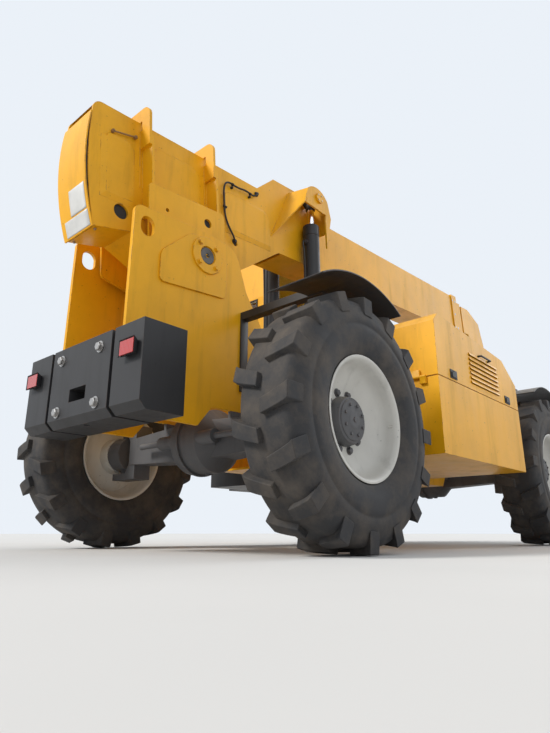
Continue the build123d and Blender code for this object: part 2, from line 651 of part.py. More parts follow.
with BuildPart() as boom_outer:
    with BuildSketch(boom_plane(0)):
        with BuildLine():
            tail = ThreePointArc((0, -TAIL_DEPTH), (-TAIL_BOW, -TAIL_DEPTH / 2), (-10, 0))
            Polyline(
                tail @ 1,
                *SADDLE_RISE,
                (OUTER_LENGTH, 0),
                (OUTER_LENGTH, -BOOM_DEPTH),
                (1560, -BOOM_DEPTH),
                (PIVOT_S + 210, PIVOT_D - 60),
            )
            under = ThreePointArc(
                (PIVOT_S + 210, PIVOT_D - 60), (PIVOT_S, PIVOT_D - 150), (PIVOT_S - 210, PIVOT_D - 20)
            )
            Polyline(under @ 1, floor_line[1], tail @ 0)
        make_face()
        fillet(vertices().sort_by_distance((-10, 0, 0))[0], radius=TAIL_CORNER_R)
        for s, d, r in P_HOLES:
            with Locations((s, d)):
                Circle(r, mode=Mode.SUBTRACT)
    extrude(amount=BOOM_HALF_W, both=True)
    with BuildSketch(boom_plane(0)):
        with BuildLine():
            Polyline(
                (-200, -1200),
                (-200, -BOOM_WALL - 30),
                (30, -BOOM_WALL),
                (OUTER_LENGTH + 50, -BOOM_WALL),
                (OUTER_LENGTH + 50, -BOOM_DEPTH + BOOM_WALL),
                (1600, -BOOM_DEPTH + BOOM_WALL),
                (1480, -1200),
                close=True,
            )
        make_face()
        with Locations(((SADDLE_RISE[0][0] + SADDLE_RISE[-1][0]) / 2, 100)):
            Rectangle(SADDLE_RISE[-1][0] - SADDLE_RISE[0][0] + 20, 200)
    extrude(amount=BOOM_HALF_W - BOOM_WALL, both=True, mode=Mode.SUBTRACT)
    with BuildSketch(boom_plane(0)):
        with BuildLine():
            Polyline(*floor_line, *[(s, d + FLOOR_T) for s, d in reversed(floor_line)], close=True)
        make_face()
    extrude(amount=BOOM_HALF_W - 1, both=True)
    for side in (1, -1):
        for rear, front, top, low, corner_r in DOUBLERS:
            with BuildSketch(boom_plane(side * BOOM_HALF_W)):
                with Locations(((rear + front) / 2, (top + low) / 2)):
                    Rectangle(front - rear, top - low)
                fillet(vertices().sort_by_distance((front, top, 0))[0], radius=corner_r)
                fillet(vertices().sort_by_distance((rear, top, 0))[0], radius=corner_r / 2)
            extrude(amount=-side * DOUBLER_T)
    # hoop ribs, each in two plates that lap below the corner
    for rib_s in RIBS:
        with BuildSketch(boom_section(rib_s)):
            with BuildLine():
                hoop = FilletPolyline(
                    (-RIB_HALF_W, RIB_LAP_D),
                    (-RIB_HALF_W, RIB_TOP),
                    (RIB_HALF_W, RIB_TOP),
                    (RIB_HALF_W, RIB_LAP_D),
                    radius=RIB_CORNER_R,
                )
                Line(hoop @ 1, hoop @ 0)
            make_face()
            with Locations((0, -BOOM_DEPTH)):
                Rectangle(2 * BOOM_HALF_W, 2 * BOOM_DEPTH, mode=Mode.SUBTRACT)
            for side in (1, -1):
                with Locations((side * (BOOM_HALF_W + RIB_SLOT_W / 2), (RIB_SLOT_D + 4) / 2)):
                    RectangleRounded(RIB_SLOT_W, 4 - RIB_SLOT_D, 8, mode=Mode.SUBTRACT)
        extrude(amount=RIB_T)
        for side in (1, -1):
            with BuildSketch(boom_section(rib_s + RIB_T)):
                with Locations((side * (BOOM_HALF_W + RIB_HALF_W) / 2, (RIB_BOTTOM_D + lap_top) / 2)):
                    Rectangle(RIB_HALF_W - BOOM_HALF_W, lap_top - RIB_BOTTOM_D)
            extrude(amount=RIB_T)
    for y in (RIB_HALF_W + PIVOT_PLATE_T, -RIB_HALF_W):
        with BuildSketch(boom_plane(y)):
            with BuildLine():
                FilletPolyline(
                    (RIBS[0] - 15, PIVOT_D - 60),
                    (RIBS[0] - 15, PIVOT_PLATE_TOP_D - 10),
                    (RIBS[1] + RIB_T + 50, PIVOT_PLATE_TOP_D),
                    (RIBS[1] + RIB_T + 50, PIVOT_D - 90),
                    (PIVOT_S - 160, PIVOT_D - 120),
                    radius=30,
                    close=True,
                )
            make_face()
            for s, d, r in PIVOT_PLATE_HOLES:
                with Locations((s, d)):
                    Circle(r, mode=Mode.SUBTRACT)
        extrude(amount=PIVOT_PLATE_T)
    with BuildSketch(boom_plane(0)):
        with Locations((PIVOT_S, PIVOT_D)):
            Circle(PIVOT_BOSS_R)
    extrude(amount=RIB_HALF_W + PIVOT_PLATE_T, both=True)
    for side in (1, -1):
        with BuildSketch(boom_plane(side * (RIB_HALF_W + PIVOT_PLATE_T - 1))):
            with Locations((PIVOT_S, PIVOT_D)):
                Circle(PIVOT_BOSS_R)
        extrude(amount=-side * (FRAME_INNER_Y - 5 - RIB_HALF_W - PIVOT_PLATE_T))
    with BuildSketch(boom_plane(0)):
        with Locations((PIVOT_S, PIVOT_D)):
            Circle(PIVOT_PIN_R + RUNNING)
    extrude(amount=RIB_HALF_W + 100, both=True, mode=Mode.SUBTRACT)
    # wear pads that carry the middle boom at the mouth
    with BuildSketch(boom_section(OUTER_LENGTH - PAD_LENGTH)):
        with Locations((0, -BOOM_DEPTH / 2)):
            Rectangle(2 * BOOM_HALF_W + 24, BOOM_DEPTH + 24)
        with Locations((0, MID_TOP_D - MID_DEPTH / 2)):
            Rectangle(2 * (MID_HALF_W + SEAT), MID_DEPTH + 2 * SEAT, mode=Mode.SUBTRACT)
    extrude(amount=PAD_LENGTH)
save(boom_outer, "boom_outer")

# Ram brackets: an outer plate with the pin's bore, arched over the ram, and between it and the boom's side
# a flared plate at the rear and a strip down the front
HOOD_TOP = ((1775.0, 118.0), (1905.0, 160.0), (2030.0, 78.0))
HOOD_FRONT = (2062.0, -60.0)
HOOD_LOW = (1975.0, -346.0)
HOOD_SILL = ((1990.0, -45.0), (1735.0, -24.0))
FLARE_SEAM = ((1720.0, 112.0), (1472.0, -350.0))
FLARE_EDGE = ((1775.0, 118.0), (1716.0, -24.0))
STRIP_LOW = (2019.0, -200.0)

with BuildPart() as ram_brackets:
    for side in (1, -1):
        with BuildSketch(boom_plane(side * (HOOD_INNER_Y + HOOD_T / 2))):
            with BuildLine():
                crown = ThreePointArc(*HOOD_TOP)
                Polyline(crown @ 1, HOOD_FRONT, HOOD_LOW, *HOOD_SILL, crown @ 0)
            make_face()
            with Locations((RAM_PIN_S, RAM_PIN_D)):
                Circle(RAM_PIN_R + RUNNING, mode=Mode.SUBTRACT)
        extrude(amount=HOOD_T / 2, both=True)
        # flared plate from the saddle's seam out to the hood's rear edge
        for y, (high, low) in ((BOOM_HALF_W, FLARE_SEAM), (HOOD_INNER_Y + HOOD_T, FLARE_EDGE)):
            with BuildSketch(boom_plane(side * y)):
                with BuildLine():
                    Polyline(high, low, (low[0] + FLARE_T, low[1]), (high[0] + FLARE_T, high[1]), close=True)
                make_face()
        loft(ruled=True)
        # strip down the front, between the two plates
        with BuildSketch(boom_plane(side * (BOOM_HALF_W + HOOD_INNER_Y + 1) / 2)):
            with BuildLine():
                Polyline(
                    HOOD_TOP[2],
                    HOOD_FRONT,
                    STRIP_LOW,
                    (STRIP_LOW[0] - FLARE_T, STRIP_LOW[1]),
                    (HOOD_FRONT[0] - FLARE_T, HOOD_FRONT[1]),
                    (HOOD_TOP[2][0] - FLARE_T, HOOD_TOP[2][1]),
                    close=True,
                )
            make_face()
        extrude(amount=(HOOD_INNER_Y + 1 - BOOM_HALF_W) / 2, both=True)
save(ram_brackets, "ram_brackets")

# Bowed cover bolted over the boom's rear end
COVER_LUG_T = 12.0
COVER_LUG_LENGTH = 70.0
COVER_LUG_D = (-190.0, -TAIL_DEPTH / 2 - 20, -TAIL_DEPTH + 130.0)
cover_bulge = (
    cover_mid[0] - COVER_BOW * cover_lean[0],
    cover_mid[1] - COVER_BOW * cover_lean[1],
)

with BuildPart() as boom_tail_cover:
    with BuildSketch(boom_plane(0)):
        with BuildLine():
            back = ThreePointArc(COVER_LOW, cover_bulge, COVER_TOP)
            Line(back @ 1, (COVER_TOP[0] + COVER_T, COVER_TOP[1]))
            front = ThreePointArc(
                (COVER_TOP[0] + COVER_T, COVER_TOP[1]),
                (cover_bulge[0] + COVER_T, cover_bulge[1]),
                (COVER_LOW[0] + COVER_T, COVER_LOW[1]),
            )
            Line(front @ 1, back @ 0)
        make_face()
    extrude(amount=BOOM_HALF_W + 6, both=True)
    # lugs that reach in between the side plates, where the cover is bolted
    for y in (BOOM_HALF_W - BOOM_WALL - SEAT, -BOOM_HALF_W + BOOM_WALL + SEAT + COVER_LUG_T):
        with BuildSketch(boom_plane(y)):
            for d in COVER_LUG_D:
                with Locations((COVER_LUG_LENGTH / 2 - 30, d)):
                    Rectangle(COVER_LUG_LENGTH + 60, 70)
        extrude(amount=COVER_LUG_T)
    with BuildSketch(boom_plane(0)):
        with BuildLine():
            outside = ThreePointArc(COVER_LOW, cover_bulge, COVER_TOP)
            Polyline(outside @ 1, (-300, COVER_TOP[1]), (-300, COVER_LOW[1]), outside @ 0)
        make_face()
    extrude(amount=BOOM_HALF_W + 10, both=True, mode=Mode.SUBTRACT)
save(boom_tail_cover, "boom_tail_cover")

# Steel line on the right side plate: out of the lower hole, up, along the top edge and into the boom again;
# behind it a short rod on two end fittings
LINE_R = 8.0
LINE_Y = -BOOM_HALF_W - DOUBLER_T - LINE_R - 4.0
LINE_ROUTE = (
    # s, d
    (1078.0, -528.0),
    (1015.0, -450.0),
    (978.0, -370.0),
    (975.0, -255.0),
    (985.0, -150.0),
    (1018.0, -98.0),
    (1115.0, -104.0),
    (1205.0, -84.0),
    (1285.0, -106.0),
    (1328.0, -62.0),
)
LINE_RADII = (120.0, 100.0, 300.0, 100.0, 40.0, 40.0, 120.0, 80.0)
LINE_CLIPS = ((975.0, -300.0), (1065.0, -101.0), (1245.0, -95.0))
SHORT_ROD = ((105.0, -160.0), (258.0, -126.0))
with BuildPart() as boom_line:
    with BuildLine(boom_plane(LINE_Y)):
        route = FilletPolyline(*LINE_ROUTE, radius=LINE_RADII)
    with BuildSketch(Plane(origin=route @ 0, z_dir=route % 0)):
        Circle(LINE_R)
    sweep(path=route)
    for s, d in LINE_CLIPS:
        with BuildSketch(boom_plane(-BOOM_HALF_W)):
            with Locations((s, d)):
                Rectangle(26, 26)
        extrude(amount=-LINE_Y - BOOM_HALF_W)
    # grommet at the lower hole and block where the line enters the boom
    with BuildSketch(boom_plane(-BOOM_HALF_W)):
        with Locations(LINE_ROUTE[0]):
            Circle(22)
        with Locations((LINE_ROUTE[-1][0] + 10, LINE_ROUTE[-1][1] + 12)):
            Rectangle(34, 34)
    extrude(amount=34)
    for s, d in SHORT_ROD:
        with BuildSketch(boom_plane(-BOOM_HALF_W)):
            with Locations((s, d)):
                Circle(14)
        extrude(amount=26)
    with BuildSketch(boom_plane(-BOOM_HALF_W - 12)):
        SlotCenterPoint(
            ((SHORT_ROD[0][0] + SHORT_ROD[1][0]) / 2, (SHORT_ROD[0][1] + SHORT_ROD[1][1]) / 2), SHORT_ROD[0], 12
        )
    extrude(amount=12)
save(boom_line, "boom_line")

# Middle and inner booms
with BuildPart() as boom_mid:
    with BuildSketch(boom_section(MID_REAR_S)):
        with Locations((0, MID_TOP_D - MID_DEPTH / 2)):
            Rectangle(2 * MID_HALF_W, MID_DEPTH)
            Rectangle(2 * (MID_HALF_W - MID_WALL), MID_DEPTH - 2 * MID_WALL, mode=Mode.SUBTRACT)
    extrude(amount=MID_FRONT_S - MID_REAR_S)
    with BuildSketch(boom_section(MID_FRONT_S - PAD_LENGTH)):
        with Locations((0, MID_TOP_D - MID_DEPTH / 2)):
            Rectangle(2 * MID_HALF_W, MID_DEPTH)
        with Locations((0, INNER_TOP_D - INNER_DEPTH / 2)):
            Rectangle(2 * (INNER_HALF_W + SEAT), INNER_DEPTH + 2 * SEAT, mode=Mode.SUBTRACT)
    extrude(amount=PAD_LENGTH)
save(boom_mid, "boom_mid")

NOSE_BACK = (
    # s, d of the strip that closes the nose behind the tilt ram
    (INNER_FRONT_S - 21, INNER_TOP_D - INNER_DEPTH + 8),
    (NOSE_S - 156, NOSE_D + 220),
    (NOSE_S - 145, NOSE_D + 225),
    (INNER_FRONT_S - 10, INNER_TOP_D - INNER_DEPTH + 13),
)
NOSE_FRONT = (
    # s, d of the strip over the nose's top corner
    (INNER_FRONT_S - 6, INNER_TOP_D - 3),
    (INNER_FRONT_S + 59, INNER_TOP_D - 3),
    (INNER_FRONT_S + 367, INNER_TOP_D - 134),
    (INNER_FRONT_S + 451, INNER_TOP_D - 421),
    (INNER_FRONT_S + 440, INNER_TOP_D - 424),
    (INNER_FRONT_S + 357, INNER_TOP_D - 143),
    (INNER_FRONT_S + 57, INNER_TOP_D - 15),
    (INNER_FRONT_S - 6, INNER_TOP_D - 15),
)
with BuildPart() as boom_inner:
    with BuildSketch(boom_section(INNER_REAR_S)):
        with Locations((0, INNER_TOP_D - INNER_DEPTH / 2)):
            Rectangle(2 * INNER_HALF_W, INNER_DEPTH)
            Rectangle(2 * (INNER_HALF_W - INNER_WALL), INNER_DEPTH - 2 * INNER_WALL, mode=Mode.SUBTRACT)
    extrude(amount=INNER_FRONT_S - INNER_REAR_S)
    # nose plates that drop to the carriage pivot
    for y in (NOSE_INNER_Y + NOSE_PLATE_T, -NOSE_INNER_Y):
        with BuildSketch(boom_plane(y)):
            with BuildLine():
                Polyline(
                    (MID_FRONT_S + 20, INNER_TOP_D),
                    (INNER_FRONT_S + 60, INNER_TOP_D),
                    (INNER_FRONT_S + 370, INNER_TOP_D - 132),
                    (NOSE_S + 45, NOSE_D + 420),
                    (NOSE_S + 95, NOSE_D + 120),
                    (NOSE_S + 70, NOSE_D - 20),
                    (NOSE_S + 10, NOSE_D - 65),
                    (NOSE_S - 60, NOSE_D - 40),
                    (NOSE_S - 150, NOSE_D + 200),
                    (INNER_FRONT_S - 20, INNER_TOP_D - INNER_DEPTH),
                    (MID_FRONT_S + 20, INNER_TOP_D - INNER_DEPTH),
                    close=True,
                )
            make_face()
            with Locations((NOSE_S, NOSE_D)):
                Circle(NOSE_PIN_R + RUNNING, mode=Mode.SUBTRACT)
        extrude(amount=NOSE_PLATE_T)
    for points in (NOSE_BACK, NOSE_FRONT):
        with BuildSketch(boom_plane(0)):
            with BuildLine():
                Polyline(*points, close=True)
            make_face()
        extrude(amount=NOSE_INNER_Y + 4, both=True)
    with BuildSketch(side_plane(0)):
        with Locations(TILT_BASE):
            Circle(TILT_PIN_R + RUNNING)
    extrude(amount=NOSE_INNER_Y + 2 * NOSE_PLATE_T, both=True, mode=Mode.SUBTRACT)
save(boom_inner, "boom_inner")

# Pins fixed in the boom: the ram pins' ends stand in the brackets and leave the eye's space open
with BuildPart() as boom_pins:
    for low_y, high_y in (
        (-HOOD_INNER_Y - HOOD_T - 2, -HOOD_INNER_Y + 17),
        (-RAM_Y + RAM_EYE_W / 2 + 5, -BOOM_HALF_W - SEAT),
        (BOOM_HALF_W + SEAT, RAM_Y - RAM_EYE_W / 2 - 5),
        (HOOD_INNER_Y - 17, HOOD_INNER_Y + HOOD_T + 2),
    ):
        with BuildSketch(boom_plane(high_y)):
            with Locations((RAM_PIN_S, RAM_PIN_D)):
                Circle(RAM_PIN_R)
        extrude(amount=high_y - low_y)
    for side in (1, -1):
        with BuildSketch(boom_plane(side * (HOOD_INNER_Y + HOOD_T + SEAT))):
            with Locations((RAM_PIN_S, RAM_PIN_D)):
                RegularPolygon(RAM_HEAD_R, 8)
        extrude(amount=-side * 14)
save(boom_pins, "boom_pins")


def build_ram(base, tip, y, barrel_name, rod_name, sizes):
    """A ram: barrel hinged at its base, rod with a thicker shank up to the eye at its tip."""
    barrel_r, rod_r, shank_r, base_r, base_pin, base_w, eye_r, eye_w, neck, shank, closing = sizes
    length = hypot(tip[0] - base[0], tip[1] - base[1])
    plane = ram_plane(base, tip, y)
    barrel_end = length - neck
    with BuildPart() as barrel:
        with BuildSketch(plane.offset(base_r * 0.6)):
            Circle(barrel_r)
        extrude(amount=barrel_end - base_r * 0.6)
        with BuildSketch(side_plane(y)):
            with Locations(base):
                Circle(base_r)
        extrude(amount=base_w / 2, both=True)
        with BuildSketch(side_plane(y)):
            with Locations(base):
                Circle(base_pin + RUNNING)
        extrude(amount=base_w, both=True, mode=Mode.SUBTRACT)
        with BuildSketch(plane.offset(base_r + 30)):
            Circle(rod_r + RUNNING)
        extrude(amount=length, mode=Mode.SUBTRACT)
    save(barrel, barrel_name)
    with BuildPart() as rod:
        with BuildSketch(plane.offset(base_r + 40 + closing)):
            Circle(rod_r)
        extrude(amount=length - base_r - 40 - closing)
        with BuildSketch(plane.offset(length - shank)):
            Circle(shank_r)
        extrude(amount=shank)
        with BuildSketch(side_plane(y)):
            with Locations(tip):
                Circle(eye_r)
        extrude(amount=eye_w / 2, both=True)
    save(rod, rod_name)


LIFT_SIZES = (
    RAM_BARREL_R, RAM_ROD_R, RAM_SHANK_R, 66.0, RAM_BASE_PIN_R, 100.0, RAM_EYE_R, RAM_EYE_W, RAM_NECK,
    RAM_SHANK, RAM_CLOSING,
)
TILT_SIZES = (
    TILT_BARREL_R, TILT_ROD_R, TILT_SHANK_R, 46.0, TILT_PIN_R, 90.0, TILT_EYE_R, 70.0, TILT_NECK,
    TILT_SHANK, TILT_CLOSING,
)
for name, side in (("right", -1), ("left", 1)):
    build_ram(RAM_BASE, RAM_PIN, side * RAM_Y, f"lift_barrel_{name}", f"lift_rod_{name}", LIFT_SIZES)
build_ram(TILT_BASE, TILT_PIN, 0, "tilt_barrel", "tilt_rod", TILT_SIZES)

# Pins fixed in the nose
with BuildPart() as nose_pins:
    with BuildSketch(side_plane(0)):
        with Locations(TILT_BASE):
            Circle(TILT_PIN_R)
    extrude(amount=NOSE_INNER_Y + NOSE_PLATE_T + 12, both=True)
    with BuildSketch(side_plane(0)):
        with Locations(NOSE_PIVOT):
            Circle(NOSE_PIN_R)
    extrude(amount=NOSE_INNER_Y + NOSE_PLATE_T + 45, both=True)
save(nose_pins, "nose_pins")

# Fork carriage: ears round the nose, a frame and the bar that the forks hang on
EAR_INNER_Y = NOSE_INNER_Y + NOSE_PLATE_T + 5.0
EAR_T = 25.0
FACE_X = NOSE_PIVOT[0] + CARRIAGE_FACE_AHEAD
TILT_LUG_INNER_Y = 45.0
TILT_LUG_T = 20.0

with BuildPart() as fork_carriage:
    for y in (EAR_INNER_Y + EAR_T, -EAR_INNER_Y):
        with BuildSketch(side_plane(y)):
            with BuildLine():
                Polyline(
                    (NOSE_PIVOT[0] - 60, NOSE_PIVOT[1] - 30),
                    (NOSE_PIVOT[0] - 50, NOSE_PIVOT[1] + 50),
                    (TILT_PIN[0] - 55, TILT_PIN[1] + 20),
                    (TILT_PIN[0] - 20, TILT_PIN[1] + 60),
                    (FACE_X - 60, CARRIAGE_BAR_Z + 20),
                    (FACE_X - 20, CARRIAGE_BAR_Z + 20),
                    (FACE_X - 20, CARRIAGE_FOOT_Z),
                    (FACE_X - 60, CARRIAGE_FOOT_Z),
                    (NOSE_PIVOT[0], NOSE_PIVOT[1] - 65),
                    close=True,
                )
            make_face()
            with Locations(NOSE_PIVOT):
                Circle(NOSE_PIN_R + RUNNING, mode=Mode.SUBTRACT)
        extrude(amount=EAR_T)
    with BuildSketch(side_plane(0)):
        with Locations((FACE_X - 40, CARRIAGE_BAR_Z - 90)):
            Rectangle(40, 100)
        with Locations((FACE_X - 40, CARRIAGE_FOOT_Z + 60)):
            Rectangle(40, 120)
    extrude(amount=CARRIAGE_HALF_W, both=True)
    # lugs for the tilt ram's pin, whose ends leave the eye's space open
    for side in (1, -1):
        with BuildSketch(side_plane(side * (TILT_LUG_INNER_Y + TILT_LUG_T / 2))):
            with BuildLine():
                Polyline(
                    (FACE_X - 60, CARRIAGE_BAR_Z - 140),
                    (TILT_PIN[0] - 30, TILT_PIN[1] - 45),
                    (TILT_PIN[0] - 50, TILT_PIN[1]),
                    (TILT_PIN[0] - 30, TILT_PIN[1] + 40),
                    (TILT_PIN[0] + 20, TILT_PIN[1] + 50),
                    (FACE_X - 60, CARRIAGE_BAR_Z - 40),
                    close=True,
                )
            make_face()
        extrude(amount=TILT_LUG_T / 2, both=True)
        with BuildSketch(side_plane(side * (TILT_LUG_INNER_Y - 5))):
            with Locations(TILT_PIN):
                Circle(TILT_PIN_R)
        extrude(amount=-side * (TILT_LUG_T + 15))
    for y in (CARRIAGE_HALF_W, -CARRIAGE_HALF_W + 30):
        with BuildSketch(side_plane(y)):
            with Locations((FACE_X - 30, (CARRIAGE_BAR_Z + CARRIAGE_FOOT_Z) / 2 + 20)):
                Rectangle(60, CARRIAGE_BAR_Z - CARRIAGE_FOOT_Z + 80)
        extrude(amount=30)
    with BuildSketch(side_plane(0)):
        with Locations((FACE_X - 10, CARRIAGE_BAR_Z)):
            Circle(CARRIAGE_BAR_R)
    extrude(amount=CARRIAGE_HALF_W, both=True)
save(fork_carriage, "fork_carriage")

with BuildPart() as forks:
    for side in (1, -1):
        with BuildSketch(side_plane(side * FORK_HALF_GAP)):
            with BuildLine():
                Polyline(
                    (FACE_X, FORK_BOTTOM_Z),
                    (FACE_X + FORK_THICKNESS + FORK_LENGTH, FORK_BOTTOM_Z),
                    (FACE_X + FORK_THICKNESS + FORK_LENGTH, FORK_BOTTOM_Z + 14),
                    (FACE_X + FORK_LENGTH * 0.6, FORK_BOTTOM_Z + FORK_THICKNESS),
                    (FACE_X + FORK_THICKNESS, FORK_BOTTOM_Z + FORK_THICKNESS),
                    (FACE_X + FORK_THICKNESS, CARRIAGE_BAR_Z + CARRIAGE_BAR_R + 25),
                    (FACE_X - 62, CARRIAGE_BAR_Z + CARRIAGE_BAR_R + 25),
                    (FACE_X - 62, CARRIAGE_BAR_Z - CARRIAGE_BAR_R),
                    (FACE_X + SEAT, CARRIAGE_BAR_Z - CARRIAGE_BAR_R),
                    (FACE_X + SEAT, CARRIAGE_FOOT_Z + 130),
                    (FACE_X, CARRIAGE_FOOT_Z + 130),
                    close=True,
                )
            make_face()
            with Locations((FACE_X - 10, CARRIAGE_BAR_Z)):
                Circle(CARRIAGE_BAR_R + SEAT, mode=Mode.SUBTRACT)
        extrude(amount=FORK_WIDTH / 2, both=True)
save(forks, "forks")

# Cab: a hollow shell with its windows cut, the glass, the door, the seat and the controls
CAB_X = REAR_AXLE_X
cab_mid_y = (CAB_INNER_Y + CAB_OUTER_Y) / 2
cab_half_w = (CAB_OUTER_Y - CAB_INNER_Y) / 2
CAB_OUTLINE = (
    (CAB_X + CAB_REAR, CAB_FLOOR_Z),
    (CAB_X + CAB_FRONT_LOW, CAB_FLOOR_Z),
    (CAB_X + CAB_FRONT_LOW, CAB_STEP_Z),
    (CAB_X + CAB_FRONT_HIGH, CAB_STEP_Z + 60),
    (CAB_X + CAB_FRONT_HIGH, CAB_NOSE_Z),
    (CAB_X + CAB_ROOF_FRONT, CAB_ROOF_Z),
    (CAB_X + CAB_REAR + 60, CAB_ROOF_Z),
    (CAB_X + CAB_REAR, CAB_ROOF_Z - 500),
)
SIDE_WINDOW = (
    (CAB_X + CAB_REAR + 90, CAB_STEP_Z + 40),
    (CAB_X + CAB_FRONT_HIGH - 90, CAB_STEP_Z + 120),
    (CAB_X + CAB_FRONT_HIGH - 90, CAB_NOSE_Z),
    (CAB_X + CAB_ROOF_FRONT - 90, CAB_ROOF_Z - 110),
    (CAB_X + CAB_REAR + 130, CAB_ROOF_Z - 110),
    (CAB_X + CAB_REAR + 90, CAB_ROOF_Z - 500),
)
WINDOW_HALF_W = cab_half_w - 75
HINGE_R = 10.0
HINGE_LENGTH = 60.0
DOOR_HINGE = (CAB_X + DOOR_REAR + 12.0, CAB_OUTER_Y + HINGE_R + 1.0)
LEAF = 46.0
LEAF_T = 16.0
DOOR_HINGE_Z = (DOOR_LOW_Z + 250.0, DOOR_HIGH_Z - 250.0)

with BuildPart() as cab_shell:
    with BuildSketch(side_plane(cab_mid_y)):
        with BuildLine():
            Polyline(*CAB_OUTLINE, close=True)
        make_face()
    extrude(amount=cab_half_w, both=True)
    with BuildSketch(side_plane(cab_mid_y)):
        with BuildLine():
            Polyline(*CAB_OUTLINE, close=True)
        make_face()
        offset(amount=-CAB_WALL, kind=Kind.INTERSECTION)
    extrude(amount=cab_half_w - CAB_WALL, both=True, mode=Mode.SUBTRACT)
    # window on the boom's side
    with BuildSketch(side_plane(CAB_INNER_Y + CAB_WALL + 10)):
        with BuildLine():
            Polyline(*SIDE_WINDOW, close=True)
        make_face()
    extrude(amount=CAB_WALL + 20, mode=Mode.SUBTRACT)
    # windscreen and rear window
    with BuildSketch(cross_plane(CAB_X + CAB_ROOF_FRONT - 60, cab_mid_y, 0)):
        with Locations((0, (CAB_NOSE_Z + CAB_ROOF_Z) / 2 - 10)):
            Rectangle(2 * WINDOW_HALF_W, CAB_ROOF_Z - CAB_NOSE_Z - 150)
    extrude(amount=CAB_FRONT_HIGH - CAB_ROOF_FRONT + 160, mode=Mode.SUBTRACT)
    with BuildSketch(cross_plane(CAB_X + CAB_REAR - 20, cab_mid_y, 0)):
        with Locations((0, (CAB_STEP_Z + CAB_ROOF_Z - 500) / 2 + 30)):
            Rectangle(2 * WINDOW_HALF_W, CAB_ROOF_Z - 500 - CAB_STEP_Z - 100)
    extrude(amount=CAB_WALL + 40, mode=Mode.SUBTRACT)
    # doorway
    with BuildSketch(side_plane(CAB_OUTER_Y + 10)):
        with Locations((CAB_X + (DOOR_REAR + DOOR_FRONT) / 2, (DOOR_LOW_Z + DOOR_HIGH_Z) / 2)):
            Rectangle(DOOR_FRONT - DOOR_REAR, DOOR_HIGH_Z - DOOR_LOW_Z)
    extrude(amount=CAB_WALL + 20, mode=Mode.SUBTRACT)
    # fixed halves of the door's hinges, under the door's own
    for z in DOOR_HINGE_Z:
        with BuildSketch(Plane.XY.offset(z - HINGE_LENGTH / 2 - SEAT)):
            with Locations(DOOR_HINGE):
                Circle(HINGE_R)
            with Locations((DOOR_HINGE[0] - 14 - LEAF / 2, CAB_OUTER_Y + LEAF_T / 2 - 3)):
                Rectangle(LEAF, LEAF_T + 6)
            with Locations((DOOR_HINGE[0] - 8, CAB_OUTER_Y + LEAF_T / 2 + 2)):
                Rectangle(16, LEAF_T - 4)
        extrude(amount=-40)
save(cab_shell, "cab_shell")

with BuildPart() as cab_glass:
    with BuildSketch(side_plane(CAB_INNER_Y + CAB_WALL / 2 + GLASS_T / 2)):
        with BuildLine():
            Polyline(*SIDE_WINDOW, close=True)
        make_face()
        offset(amount=-SEAT, kind=Kind.INTERSECTION)
    extrude(amount=GLASS_T)
    screen_low = (CAB_NOSE_Z + CAB_ROOF_Z) / 2 - 10 - (CAB_ROOF_Z - CAB_NOSE_Z - 150) / 2
    screen_high = screen_low + CAB_ROOF_Z - CAB_NOSE_Z - 150
    slope = (CAB_FRONT_HIGH - CAB_ROOF_FRONT) / (CAB_ROOF_Z - CAB_NOSE_Z)
    low_x = CAB_X + CAB_FRONT_HIGH - CAB_WALL / 2 - slope * (screen_low - CAB_NOSE_Z)
    high_x = CAB_X + CAB_FRONT_HIGH - CAB_WALL / 2 - slope * (screen_high - CAB_NOSE_Z)
    with BuildSketch(side_plane(cab_mid_y)):
        with BuildLine():
            Polyline(
                (low_x, screen_low + SEAT),
                (low_x - GLASS_T, screen_low + SEAT),
                (high_x - GLASS_T, screen_high - SEAT),
                (high_x, screen_high - SEAT),
                close=True,
            )
        make_face()
    extrude(amount=WINDOW_HALF_W - SEAT, both=True)
    with BuildSketch(cross_plane(CAB_X + CAB_REAR + CAB_WALL / 2, cab_mid_y, 0)):
        with Locations((0, (CAB_STEP_Z + CAB_ROOF_Z - 500) / 2 + 30)):
            Rectangle(2 * (WINDOW_HALF_W - SEAT), CAB_ROOF_Z - 500 - CAB_STEP_Z - 100 - 2 * SEAT)
    extrude(amount=GLASS_T)
save(cab_glass, "cab_glass")

DOOR_WINDOW = (DOOR_FRONT - DOOR_REAR - 150, 980.0)
DOOR_WINDOW_Z = 1870.0
DOOR_MID_X = CAB_X + (DOOR_REAR + DOOR_FRONT) / 2
DOOR_MID_Z = (DOOR_LOW_Z + DOOR_HIGH_Z) / 2
with BuildPart() as cab_door:
    with BuildSketch(side_plane(CAB_OUTER_Y)):
        with Locations((DOOR_MID_X, DOOR_MID_Z)):
            Rectangle(DOOR_FRONT - DOOR_REAR - 2 * DOOR_GAP, DOOR_HIGH_Z - DOOR_LOW_Z - 2 * DOOR_GAP)
        with Locations((DOOR_MID_X, DOOR_WINDOW_Z)):
            Rectangle(*DOOR_WINDOW, mode=Mode.SUBTRACT)
    extrude(amount=CAB_WALL)
    for z in DOOR_HINGE_Z:
        with BuildSketch(Plane.XY.offset(z - HINGE_LENGTH / 2)):
            with Locations(DOOR_HINGE):
                Circle(HINGE_R)
            with Locations((DOOR_HINGE[0] + LEAF / 2, CAB_OUTER_Y + LEAF_T / 2 - 3)):
                Rectangle(LEAF, LEAF_T + 6)
        extrude(amount=HINGE_LENGTH)
save(cab_door, "cab_door")

